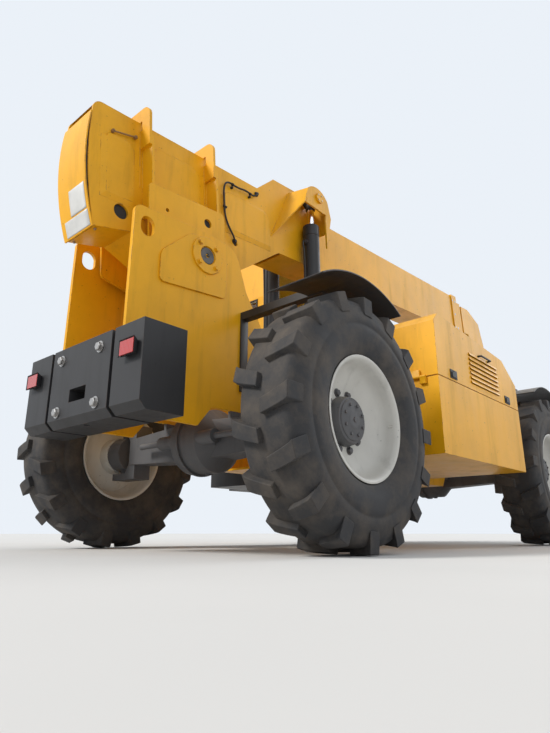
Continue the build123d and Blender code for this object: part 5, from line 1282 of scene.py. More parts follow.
@dataclass
class SideLine:
    """The steel line on the tail's right side plate with its clips and fittings, and the short rod behind it."""

    wall: float = -0.140
    line_y: float = -0.160
    radius: float = 0.0065
    route: tuple[Spot, ...] = (
        (1.078, -0.528), (1.015, -0.450), (0.978, -0.370), (0.975, -0.255), (0.978, -0.140), (1.018, -0.092),
        (1.115, -0.104), (1.205, -0.088), (1.285, -0.106), (1.332, -0.058),
    )
    clips: tuple[tuple[float, float, bool], ...] = (
        (0.975, -0.300, True), (1.065, -0.098, False), (1.245, -0.098, False),
    )
    clip_half: float = 0.007
    clip_reach: float = 0.022
    clip_t: float = 0.003
    foot_half: float = 0.006
    screw_across: float = 0.012
    rod: tuple[Spot, ...] = ((0.105, -0.160), (0.258, -0.126))

    def clip(self, bm: Mesh, s: float, d: float, upright: bool) -> None:
        """Adds a clip round the line, with its foot and its screw.

        Args:
            bm: the mesh.
            s: how far forward it is.
            d: how far up it is.
            upright: whether the line runs up there, and not forward.
        """
        r, c, y, t, f = self.radius, self.clip_half, self.line_y, self.clip_t, self.foot_half
        band(bm, (s, y, d), UPWARD if upright else FORWARD, (r, r + t), (c, -c), 20)
        foot_s, foot_d = (s + self.clip_reach, d) if upright else (s, d - self.clip_reach)
        low = (min(s, foot_s) - c, y + t, min(d, foot_d) - c)
        high = (max(s, foot_s) + c, y + 2 * t, max(d, foot_d) + c)
        box_of(bm, low, high)
        box_of(bm, (foot_s - f, y + 2 * t, foot_d - f), (foot_s + f, self.wall, foot_d + f))
        bolt(bm, (foot_s, y + t, foot_d), (0, -1, 0), self.screw_across, False)

    def build(self) -> None:
        """Builds the line, its clips, its fittings and the short rod."""
        ends, out = (self.route[0], self.route[-1]), (0, -1, 0)
        first, last = ((s, self.wall + 0.01, d) for s, d in ends)
        points = [first, *((s, self.line_y, d) for s, d in self.route), last]
        line = run_of("side_line", [points], self.radius, "boom", Slot.DARK_PAINT, TRIM, place=BOOM)
        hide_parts("boom_line")
        bm = bmesh.new()
        for s, d in ends:
            boss(bm, (s, self.wall, d), out, 0.019, 0.007, 32, (0.003, 0.003))
            boss(bm, (s, self.wall - 0.006, d), out, 0.013, 0.013, 6, (0.002, 0.002))
        for s, d, upright in self.clips:
            self.clip(bm, s, d, upright)
        as_piece("side_line_fittings", bm, "boom", Slot.DARK_PAINT, TRIM, place=BOOM)
        rod = [(s, self.wall - 0.013, d) for s, d in self.rod]
        run_of("short_rod", [rod], 0.005, "boom", Slot.PAINT, WEATHERED, place=BOOM, smooth=False)
        lugs = bmesh.new()
        lug = ((0, 0.0), (0, 0.008), (0.006, 0.008), (0.006, 0.011), (0.020, 0.011), (0.022, 0.009), (0.022, 0.0))
        for s, d in self.rod:
            turned(lugs, (s, self.wall, d), out, lug, 24)
            bolt(lugs, (s, self.wall - 0.021, d), out, self.screw_across, False)
        as_piece("short_rod_ends", lugs, "boom", Slot.PAINT, WEATHERED, place=BOOM)


@dataclass
class PivotDress:
    """The boom pivot on the towers: gusset plates, bolted retainers, dark pin heads and the lift rams' base pins."""

    face_y: float = 0.315
    gusset_t: float = 0.010
    gusset_corner: float = 0.035
    gusset: tuple[Spot, ...] = (
        (-0.335, -0.095), (-0.125, 0.106), (0.075, 0.106), (0.165, 0.020), (0.165, -0.230), (-0.335, -0.280),
    )
    retainer: tuple[Spot, ...] = (
        (0.0, 0.058), (0.0, 0.1165), (0.0015, 0.118), (0.0165, 0.118), (0.020, 0.1145), (0.020, 0.060), (0.018, 0.058),
    )
    retainer_t: float = 0.020
    bolt_circle: float = 0.090
    bolt_across: float = 0.026
    nipple: tuple[Spot, ...] = ((0, 0.0), (0, 0.007), (0.006, 0.007), (0.009, 0.004), (0.013, 0.004), (0.013, 0.0))
    nipple_foot: float = 0.009
    pin_r: float = 0.055
    pin_inset: float = 0.02
    ram_pin_r: float = 0.030
    ram_pin_y: Spot = (0.127, 0.313)

    def build(self) -> None:
        """Builds the pivot's pieces on both sides."""
        x, _, z = joint("boom_lift")["pos_m"]
        r, inset = self.pin_r, self.pin_inset
        head = (
            (-inset, 0.0), (-inset, r), (0.010, r), (0.014, r - 0.004), (0.014, 0.014), (0.009, 0.011), (0.009, 0.0),
        )
        gussets, rings, pins = bmesh.new(), bmesh.new(), bmesh.new()
        for side in SIDES:
            y, out = side * self.face_y, (0, side, 0)
            plate(gussets, [(x + a, z + b) for a, b in self.gusset], y, side * self.gusset_t, self.gusset_corner)
            turned(rings, (x, y, z), out, self.retainer, 64, closed=True)
            for a, b in spaced(4, self.bolt_circle, 0.5):
                bolt(rings, (x + a, y + side * self.retainer_t, z + b), out, self.bolt_across)
            turned(pins, (x, y, z), out, head, 48)
            turned(pins, (x, y + side * self.nipple_foot, z), out, self.nipple, 12)
        boss(pins, (x, inset - self.face_y, z), LEFTWARD, r, 2 * (self.face_y - inset), 48)
        low, high = self.ram_pin_y
        for side, name in zip(SIDES, ("right", "left")):
            ram_x, _, ram_z = joint(f"lift_barrel_{name}_pivot")["pos_m"]
            roller(pins, (ram_x, side * low, ram_z), (0, side, 0), self.ram_pin_r, high - low, (0.003, 0.003))
        ease_edges(as_piece("pivot_gussets", gussets, "chassis", Slot.PAINT), 0.002)
        as_piece("pivot_retainers", rings, "chassis", Slot.PAINT, smooth_angle=30)
        piece = as_piece("pivot_pins", pins, "chassis", Slot.PIN, GREASED)
        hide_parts("chassis_pins")


@dataclass
class Exhaust:
    """The silencer and its tailpipe on the right frame plate, with clamps, brackets and the inlet elbow."""

    ahead: float = 2.378
    y: float = -0.387
    low: float = 0.800
    high: float = 1.560
    top: float = 1.980
    can_r: float = 0.062
    pipe_r: float = 0.030
    wall: float = 0.004
    plate_y: float = -0.3153
    bead_r: float = 0.064
    strap_t: float = 0.003
    strap_half: float = 0.012
    brackets: Spot = (0.890, 0.960)
    inlet: float = 2.301
    elbow_r: float = 0.027

    def build(self) -> None:
        """Builds the exhaust."""
        x, y, height, rise = REAR_X + self.ahead, self.y, self.high - self.low, self.top - self.high
        can, bead, outer, inner = self.can_r, self.bead_r, self.pipe_r, self.pipe_r - self.wall
        bm, pipe = bmesh.new(), bmesh.new()
        turned(bm, (x, y, self.low), UPWARD, (
            (0.0, 0.0), (0.0, 0.030), (0.004, 0.052), (0.010, 0.060), (0.012, bead), (0.018, bead), (0.020, can),
            (height - 0.020, can), (height - 0.018, bead), (height - 0.012, bead), (height - 0.010, 0.060),
            (height - 0.002, 0.046), (height, 0.034), (height, 0.0),
        ), 48)
        turned(pipe, (x, y, self.high), UPWARD, (
            (-0.004, 0.0), (-0.004, outer), (rise, outer), (rise, inner), (rise - 0.10, inner), (rise - 0.10, 0.0),
        ), 40)
        for vert in pipe.verts:
            if vert.co.z > self.top - 0.01:
                vert.co.z += (vert.co.x - x - outer) * 0.8
        pour(bm, pipe)
        for z in (*self.brackets, self.high + 0.03):
            r = can if z < self.high else outer
            band(bm, (x, y, z), UPWARD, (r, r + self.strap_t), (-self.strap_half, self.strap_half), 48)
            box_of(bm, (x - r - 0.022, y - 0.010, z - 0.011), (x - r + 0.002, y + 0.010, z + 0.011))
            bolt(bm, (x - r - 0.012, y - 0.010, z), (0, -1, 0), 0.014, False)
        for z in self.brackets:
            box_of(bm, (x - 0.035, y + can - 0.006, z - 0.020), (x + 0.035, self.plate_y - 0.0005, z + 0.020))
        piece = as_piece("exhaust_made", bm, "chassis", Slot.HOT, smooth_angle=40)
        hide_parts("exhaust")
        turn = ((REAR_X + self.inlet, 0.735), (x - 0.03, 0.735), (x, 0.740), (x, 0.770), (x, 0.803))
        run_of("exhaust_elbow", [[(a, y, z) for a, z in turn]], self.elbow_r, "chassis", Slot.HOT)


@dataclass
class PodDress:
    """The engine pod's fittings: pressed louvre hoods, mesh, latches and handle, and the engine's own parts."""

    rear: float = 0.850
    front: float = 2.300
    inner_y: float = -0.3153
    outer_y: float = -1.190
    split: float = 1.050
    wall: float = 0.025
    pitch: float = 0.034
    louvre_half: float = 0.260
    latches: Spot = (1.080, 2.060)
    handle_z: float = 1.335
    block: tuple[float, float, float] = (1.075, 1.955, 1.3053)
    fan_z: float = 0.985
    blade_twist: float = 0.5
    core: tuple[float, float, float] = (2.150, 0.600, 1.225)
    core_t: float = 0.070
    core_half: float = 0.320
    fins: int = 40
    fin_pitch: float = 0.0128
    mesh_half: float = 0.275
    handle_r: float = 0.007
    hose_r: float = 0.024

    def __post_init__(self) -> None:
        """Finds the pod's middle and where the louvres are centred."""
        self.mid_x, self.mid_y = REAR_X + (self.rear + self.front) / 2 + 0.060, (self.inner_y + self.outer_y) / 2

    def hoods(self, bm: Mesh, count: int, middle_z: float, place: Matrix) -> None:
        """Adds a column of pressed louvre hoods, each a wedge over its slot.

        Args:
            bm: the mesh.
            count: how many there are.
            middle_z: the height of the column's middle.
            place: where the wall stands, seen as if it faced forward.
        """
        half = self.louvre_half + 0.004
        for k in range(count):
            low = middle_z + (k - (count - 1) / 2 - 0.25) * self.pitch
            wedge = ((0.0, 0.021), (0.0, 0.017), (0.008, 0.002), (0.0105, 0.003), (0.004, 0.020))
            part = bmesh.new()
            plate(part, [(out, low + up) for out, up in wedge], -half, 2 * half)
            pour(bm, part, place)

    def bonnet(self) -> None:
        """Builds what rides on the bonnet."""
        mid_x, mid_y, wall_y, split = self.mid_x, self.mid_y, self.outer_y, self.split
        hoods, mesh, latches = bmesh.new(), bmesh.new(), bmesh.new()
        side_wall = Matrix.Translation((mid_x, wall_y, 0)) @ Matrix.Rotation(-math.pi / 2, 4, "Z")
        self.hoods(hoods, 7, split + 0.160, side_wall)
        self.hoods(hoods, 4, split + 0.110, Matrix.Translation((REAR_X + self.front, mid_y, 0)))
        as_piece("louvre_hoods", hoods, "bonnet", Slot.PAINT, smooth_angle=30)
        inside, end, half = wall_y + self.wall, REAR_X + self.front - self.wall, self.mesh_half
        box_of(mesh, (mid_x - half, inside + 0.0005, split + 0.028), (mid_x + half, inside + 0.0025, split + 0.292))
        box_of(mesh, (end - 0.0025, mid_y - half, split + 0.030), (end - 0.0005, mid_y + half, split + 0.195))
        as_piece("louvre_mesh", mesh, "bonnet", Slot.PLASTIC, TRIM)
        for x in (REAR_X + ahead for ahead in self.latches):
            box_of(latches, (x - 0.050, wall_y - 0.005, split + 0.018), (x + 0.050, wall_y + 0.001, split + 0.078))
            box_of(latches, (x - 0.036, wall_y - 0.011, split + 0.026), (x + 0.036, wall_y - 0.004, split + 0.062))
            boss(latches, (x, wall_y - 0.004, split + 0.070), (0, -1, 0), 0.005, 0.004, 16)
        ease_edges(as_piece("bonnet_latches", latches, "bonnet", Slot.DARK_PAINT), 0.003, 3)
        bend = ((-0.090, 0.0), (-0.090, 0.024), (-0.080, 0.026), (0.080, 0.026), (0.090, 0.024), (0.090, 0.0))
        grip = [(mid_x + along, wall_y - out, self.handle_z) for along, out in bend]
        run_of("bonnet_handle", [grip], self.handle_r, "bonnet", Slot.DARK_PAINT)

    def engine(self) -> None:
        """Builds the parts on the engine block that show when the bonnet is up."""
        x0, x1, top, y = REAR_X + self.block[0], REAR_X + self.block[1], self.block[2], self.mid_y
        cover, filters, fan, core = (bmesh.new() for _ in range(4))
        box_of(cover, (x0 + 0.10, y - 0.115, top), (x1 - 0.16, y + 0.115, top + 0.012))
        box_of(cover, (x0 + 0.12, y - 0.095, top + 0.012), (x1 - 0.18, y + 0.095, top + 0.055))
        for k in range(5):
            for side in SIDES:
                bolt(cover, (x0 + 0.13 + k * 0.145, y + side * 0.106, top + 0.012), UPWARD, 0.016, False)
        ease_edges(as_piece("rocker_cover", cover, "chassis", Slot.DARK_PAINT), 0.008, 3)
        turned(filters, (x0 + 0.10, -1.098, 1.175), FORWARD, (
            (0.0, 0.0), (0.0, 0.045), (0.010, 0.053), (0.020, 0.055), (0.290, 0.055), (0.292, 0.058), (0.302, 0.058),
            (0.304, 0.055), (0.345, 0.053), (0.355, 0.040), (0.355, 0.0),
        ), 40)
        turned(filters, (x0 + 0.62, -1.090, 0.960), UPWARD, (
            (0.0, 0.0), (0.0, 0.030), (0.008, 0.040), (0.130, 0.040), (0.135, 0.044), (0.150, 0.044), (0.150, 0.0),
        ), 32)
        as_piece("engine_filters", filters, "chassis", Slot.PLASTIC, smooth_angle=40)
        turned(fan, (x1 + 0.001, y, self.fan_z), FORWARD, (
            (0.0, 0.0), (0.0, 0.040), (0.060, 0.040), (0.062, 0.070), (0.085, 0.070), (0.088, 0.0),
        ), 32)
        for k in range(8):
            blade = bmesh.new()
            box_of(blade, (-0.002, -0.028, 0.060), (0.002, 0.028, 0.250))
            bmesh.ops.rotate(blade, cent=ORIGIN, matrix=Matrix.Rotation(self.blade_twist, 3, "Z"), verts=blade.verts)
            turn = Matrix.Rotation(math.pi * k / 4, 4, "X")
            pour(fan, blade, Matrix.Translation((x1 + 0.075, y, self.fan_z)) @ turn)
        as_piece("cooling_fan", fan, "chassis", Slot.PLASTIC, TRIM)
        x, low, high, half, deep = REAR_X + self.core[0], *self.core[1:], self.core_half, self.core_t
        box_of(core, (x, y - half, low), (x + deep, y + half, low + 0.050))
        box_of(core, (x, y - half, high - 0.055), (x + deep, y + half, high))
        box_of(core, (x + 0.008, y - 0.310, low + 0.050), (x + 0.062, y + 0.310, high - 0.055))
        for z in (low + 0.060 + k * self.fin_pitch for k in range(self.fins)):
            box_of(core, (x + 0.003, y - 0.308, z), (x + 0.067, y + 0.308, z + 0.0022))
        as_piece("radiator", core, "chassis", Slot.DARK_PAINT)
        high_hose = [(x1 - 0.10, y + 0.10, top + 0.02), (x1 - 0.02, y + 0.10, top + 0.035),
                     (x1 + 0.08, y + 0.16, top - 0.01), (x, y + 0.20, 1.20)]
        low_hose = [(x0 + 0.455, -1.098, 1.175), (x0 + 0.52, -1.098, 1.175), (x0 + 0.60, -1.075, 1.20),
                    (x0 + 0.63, -1.020, 1.235), (x0 + 0.63, -0.94, 1.25)]
        run_of("engine_hoses", [high_hose, low_hose], self.hose_r, "chassis", Slot.PLASTIC, TRIM)

    def build(self) -> None:
        """Dresses the pod."""
        self.bonnet()
        self.engine()


@dataclass
class HitchDress:
    """The counterweight's bolts and its hitch pin with a ring."""

    x: float = REAR_X - 0.900
    bolt_y: float = 0.190
    bolt_z: Spot = (0.720, 1.010)
    bolt_across: float = 0.046
    setback: float = 0.075
    foot_z: float = 0.705
    ring_r: float = 0.040
    ring_y: float = 0.030
    ring_z: float = 1.0850
    ring_wire_r: float = 0.0045

    def build(self) -> None:
        """Builds the hitch's pieces."""
        bolts, pin = bmesh.new(), bmesh.new()
        for side in SIDES:
            for z in self.bolt_z:
                bolt(bolts, (self.x, side * self.bolt_y, z), (-1, 0, 0), self.bolt_across)
        as_piece("counterweight_bolts", bolts, "chassis", Slot.PIN, smooth_angle=30)
        turned(pin, (self.x + self.setback, 0, self.foot_z), UPWARD, (
            (0.0, 0.0), (0.0, 0.010), (0.008, 0.0155), (0.3755, 0.0155), (0.3755, 0.026), (0.383, 0.026),
            (0.386, 0.022), (0.386, 0.0),
        ), 24)
        as_piece("hitch_pin", pin, "chassis", Slot.PIN)
        circle = spaced(24, self.ring_r)
        ring = [(self.x + self.setback + a, self.ring_y + b, self.ring_z) for a, b in circle + circle[:1]]
        run_of("hitch_pin_ring", [ring], self.ring_wire_r, "chassis", Slot.PIN, smooth=False)


@dataclass
class AxleDress:
    """The bolted flange round each axle's middle housing, and the drain plug under it."""

    y: float = 0.030
    radii: Spot = (0.193, 0.209)
    bolt_circle: float = 0.2005
    thick: float = 0.020

    def build(self) -> None:
        """Builds both axles' flanges."""
        bm = bmesh.new()
        for name in ("front_left", "rear_left"):
            x, _, z = joint(f"spin_{name}")["pos_m"]
            band(bm, (x, self.y, z), LEFTWARD, self.radii, (0.0, self.thick), 64)
            for a, b in spaced(14, self.bolt_circle):
                bolt(bm, (x + a, self.y + self.thick, z + b), LEFTWARD, 0.015, False)
            boss(bm, (x, self.y - 0.06, z - 0.194), (0, 0, -1), 0.018, 0.012, 6, (0.002, 0.008))
        as_piece("axle_flanges", bm, "chassis", Slot.AXLE_PAINT, smooth_angle=30)


def bake_modifiers(piece: Piece) -> None:
    """Applies a piece's modifiers to its mesh.

    Args:
        piece: the piece.
    """
    graph = bpy.context.evaluated_depsgraph_get()
    baked = bpy.data.meshes.new_from_object(piece.evaluated_get(graph))
    piece.modifiers.clear()
    old, piece.data = piece.data, baked
    bpy.data.meshes.remove(old)


@dataclass
class SeatPad:
    """A cloth cushion: a slightly small rounded block, swelled by a short cloth simulation, then smoothed."""

    name: str
    low: Point
    high: Point
    fill: float = 0.7
    cap: float = 0.018
    voxel: float = 0.007
    pressure: float = 4.0
    frames: int = 20
    channels: Spot = (0.25, 0.75)
    channel_half: float = 0.009

    def block(self) -> Piece:
        """Makes the cushion before it is blown up.

        Returns:
            The rounded block.
        """
        bm = bmesh.new()
        box_of(bm, self.low, self.high)
        round_off(bm, 0.022)
        return as_piece(self.name, bm, "chassis", Slot.SEAT, smooth_angle=180)

    def swell(self, pad: Piece) -> None:
        """Blows the cushion up and keeps every point within the cap.

        Args:
            pad: the cushion.
        """
        remesh = pad.modifiers.new("voxels", "REMESH")
        remesh.mode, remesh.voxel_size = "VOXEL", self.voxel
        bake_modifiers(pad)
        before = [v.co.copy() for v in pad.data.vertices]
        cloth = pad.modifiers.new("cloth", "CLOTH").settings
        cloth.use_pressure, cloth.uniform_pressure_force = True, self.pressure
        cloth.effector_weights.gravity = 0.0
        for number in range(1, self.frames + 1):
            bpy.context.scene.frame_set(number)
        bake_modifiers(pad)
        bpy.context.scene.frame_set(1)
        for vert, start in zip(pad.data.vertices, before):
            moved = vert.co - start
            if moved.length > self.cap:
                vert.co = start + moved.normalized() * self.cap

    def seams(self, pad: Piece) -> None:
        """Presses two sewn channels across the cushion.

        Args:
            pad: the cushion.
        """
        low, high = self.low[1], self.high[1]
        for vert in pad.data.vertices:
            for share in self.channels:
                near = abs(vert.co.y - (low + share * (high - low))) / self.channel_half
                if near < 1.0:
                    vert.co -= vert.normal * 0.005 * (1.0 - near ** 2)

    def build(self) -> Piece:
        """Makes the cushion.

        Returns:
            The padded piece.
        """
        pad = self.block()
        self.swell(pad)
        self.seams(pad)
        pad.data.polygons.foreach_set("use_smooth", [True] * len(pad.data.polygons))
        finer = pad.modifiers.new("smoothed", "SUBSURF")
        finer.levels = finer.render_levels = 1
        bake_modifiers(pad)
        return pad


@dataclass
class Cab:
    """The cab's inside and trim: seat, console, wheel, gaskets, door handle, wiper and roof ribs."""

    inner_y: float = 0.345
    outer_y: float = 1.190
    wall: float = 0.040
    floor_z: float = 0.740
    roof_z: float = 2.560
    nose_z: float = 1.560
    step_z: float = 1.310
    rear: float = 0.900
    front_low: float = 2.290
    front_high: float = 2.480
    roof_front: float = 2.240
    seat_ahead: float = 1.180
    seat_z: float = 1.180
    door_rear: float = 1.060
    door_front: float = 2.080
    door_glass_z: Spot = (1.380, 2.360)
    frame_w: float = 0.075
    gasket_r: float = 0.009

    def __post_init__(self) -> None:
        """Works out the cab's middle and the slope of its windscreen."""
        self.mid_y = (self.inner_y + self.outer_y) / 2
        self.slope = (self.front_high - self.roof_front) / (self.roof_z - self.nose_z)

    def seat(self) -> None:
        """Builds the suspension seat: two cushions, their shell and arm rests."""
        x, y, z = REAR_X + self.seat_ahead, self.mid_y, self.seat_z
        base = SeatPad("seat_cushion", (x + 0.030, y - 0.225, z - 0.085), (x + 0.475, y + 0.225, z - 0.010)).build()
        SeatPad("seat_back", (x + 0.020, y - 0.215, z + 0.020), (x + 0.095, y + 0.215, z + 0.600)).build()
        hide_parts("seat")
        bm = bmesh.new()
        box_of(bm, (x - 0.020, y - 0.235, z - 0.120), (x + 0.480, y + 0.235, z - 0.088))
        box_of(bm, (x - 0.028, y - 0.220, z - 0.100), (x + 0.014, y + 0.220, z + 0.590))
        for side in SIDES:
            arm_y = y + side * 0.235
            box_of(bm, (x + 0.060, arm_y - 0.018, z + 0.175), (x + 0.360, arm_y + 0.008, z + 0.205))
        ease_edges(as_piece("seat_shell", bm, "chassis", Slot.PLASTIC), 0.012, 3)

    def console(self) -> None:
        """Builds the seat's pedestal and the dash, which stand for the controls node."""
        y, floor = self.mid_y, self.floor_z
        seat_x, dash_x = REAR_X + self.seat_ahead + 0.22, REAR_X + self.front_low - self.wall - 0.09
        bm = bmesh.new()
        box_of(bm, (seat_x - 0.20, y - 0.19, floor), (seat_x + 0.20, y + 0.19, floor + 0.19))
        box_of(bm, (seat_x - 0.16, y - 0.15, floor + 0.19), (seat_x + 0.16, y + 0.15, self.seat_z - 0.121))
        box_of(bm, (dash_x - 0.07, y - 0.165, floor), (dash_x + 0.07, y + 0.165, floor + 0.66))
        box_of(bm, (dash_x - 0.075, y - 0.17, floor + 0.56), (dash_x + 0.075, y + 0.17, floor + 0.715))
        piece = ease_edges(as_piece("cab_console", bm, "chassis", Slot.PLASTIC), 0.014, 3)
        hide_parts("controls")

    def steering(self) -> None:
        """Builds the steering column with its wheel, and the joystick beside the seat."""
        foot = Vector((REAR_X + self.front_low - self.wall - 0.12, self.mid_y, self.floor_z + 0.70))
        way, across = Vector((-0.55, 0, 0.83)).normalized(), Vector(LEFTWARD)
        bm = bmesh.new()
        turned(bm, foot, way, (
            (0.0, 0.0), (0.0, 0.034), (0.150, 0.030), (0.160, 0.045), (0.185, 0.045), (0.190, 0.040), (0.190, 0.0),
        ), 32)
        turned(bm, foot, way, [(0.182 + b, 0.172 + a) for a, b in spaced(12, 0.013)], 64, closed=True)
        for turn in (0.5, 2.6, 4.7):
            spoke = (across * math.cos(turn) + way.cross(across) * math.sin(turn)).normalized()
            turned(bm, foot + way * 0.176, spoke, ((0.035, 0.0), (0.035, 0.012), (0.165, 0.009), (0.165, 0.0)), 12)
        as_piece("steering_wheel", bm, "chassis", Slot.PLASTIC, smooth_angle=50)
        stick = bmesh.new()
        grip = (REAR_X + self.seat_ahead + 0.32, self.mid_y - 0.262, self.floor_z + 0.60)
        turned(stick, grip, (0.12, 0, 1), (
            (-0.60, 0.0), (-0.60, 0.030), (-0.10, 0.022), (0.0, 0.012), (0.010, 0.026), (0.080, 0.022), (0.110, 0.028),
            (0.125, 0.0),
        ), 20)
        as_piece("joystick", stick, "chassis", Slot.PLASTIC, smooth_angle=50)

    def gaskets(self) -> None:
        """Builds the rubber gaskets round the panes."""
        x, rear, front, step, roof = REAR_X, self.rear, self.front_high, self.step_z, self.roof_z
        half, r = (self.outer_y - self.inner_y) / 2 - self.frame_w, self.gasket_r
        side = (
            (rear + 0.090, step + 0.040), (front - 0.090, step + 0.120), (front - 0.090, self.nose_z),
            (self.roof_front - 0.090, roof - 0.110), (rear + 0.130, roof - 0.110), (rear + 0.090, roof - 0.500),
        )
        loops = [[(x + a, self.inner_y - 0.001, b) for a, b in side]]
        for low, high, ahead, slope in (
            (self.nose_z + 0.065, roof - 0.085, front + 0.001, self.slope),
            (step + 0.080, roof - 0.520, rear - 0.001, 0.0),
        ):
            loops.append([(x + ahead - slope * (z - self.nose_z), self.mid_y + s * half, z)
                          for s, z in ((-1, low), (1, low), (1, high), (-1, high))])
        closed = [loop + loop[:1] for loop in loops]
        run_of("window_gaskets", closed, r, "chassis", Slot.PLASTIC, TRIM, smooth=False)
        mid_x = x + (self.door_rear + self.door_front) / 2
        half_x = (self.door_front - self.door_rear) / 2 - self.frame_w
        low, high = self.door_glass_z
        corners = ((-1, low), (1, low), (1, high), (-1, high), (-1, low))
        pane = [(mid_x + s * half_x, self.outer_y + 0.001, z) for s, z in corners]
        run_of("door_gasket", [pane], r, "door", Slot.PLASTIC, TRIM, smooth=False)

    def door_handle(self) -> None:
        """Builds the door's outer handle and its lock."""
        x, y = REAR_X + self.door_front - 0.13, self.outer_y
        bend = ((0.0, 1.235), (0.030, 1.235), (0.034, 1.200), (0.034, 1.120), (0.030, 1.085), (0.0, 1.085))
        run_of("door_handle", [[(x, y + out, z) for out, z in bend]], 0.010, "door", Slot.PLASTIC, TRIM)
        bm = bmesh.new()
        lock = ((0.0, 0.0), (0.0, 0.016), (0.006, 0.015), (0.006, 0.006), (0.004, 0.0))
        turned(bm, (x, y, 1.275), LEFTWARD, lock, 24)
        as_piece("door_lock", bm, "door", Slot.PIN, smooth_angle=40)

    def on_screen(self, across: float, up: float, proud: float) -> Point:
        """A point in front of the windscreen, from the middle of its lower edge."""
        return REAR_X + self.front_high - self.slope * up + proud, self.mid_y + across, self.nose_z + up

    def wiper(self) -> None:
        """Builds the windscreen wiper at its rest place."""
        base = 0.040
        bm = bmesh.new()
        spindle = ((0, 0.0), (0, 0.020), (0.020, 0.018), (0.026, 0.010), (0.026, 0.0))
        turned(bm, self.on_screen(0.0, base, 0.0), (1, 0, 0.2), spindle, 24)
        as_piece("wiper_spindle", bm, "chassis", Slot.PLASTIC, TRIM)
        arm = [(0.0, base, 0.022), (0.10, base + 0.25, 0.026), (0.16, base + 0.42, 0.012)]
        blade = [(0.02, base + 0.22, 0.008), (0.30, base + 0.62, 0.008)]
        run_of("wiper_arm", [[self.on_screen(*spot) for spot in arm]], 0.006, "chassis", Slot.PLASTIC, TRIM)
        run_of("wiper_blade", [[self.on_screen(*spot) for spot in blade]], 0.007, "chassis", Slot.PLASTIC, TRIM,
               smooth=False)

    def roof(self) -> None:
        """Builds the roof's pressed ribs."""
        rear, front, first = REAR_X + self.rear + 0.22, REAR_X + self.roof_front - 0.31, self.inner_y + 0.14
        step = (self.outer_y - self.inner_y - 0.28) / 4
        bm = bmesh.new()
        for y in (first + k * step for k in range(5)):
            box_of(bm, (rear, y - 0.018, self.roof_z - 0.002), (front, y + 0.018, self.roof_z + 0.014))
        ease_edges(as_piece("roof_ribs", bm, "chassis", Slot.PAINT), 0.006, 3)

    def build(self) -> None:
        """Builds the whole cab."""
        self.seat()
        self.console()
        self.steering()
        self.gaskets()
        self.door_handle()
        self.wiper()
        self.roof()


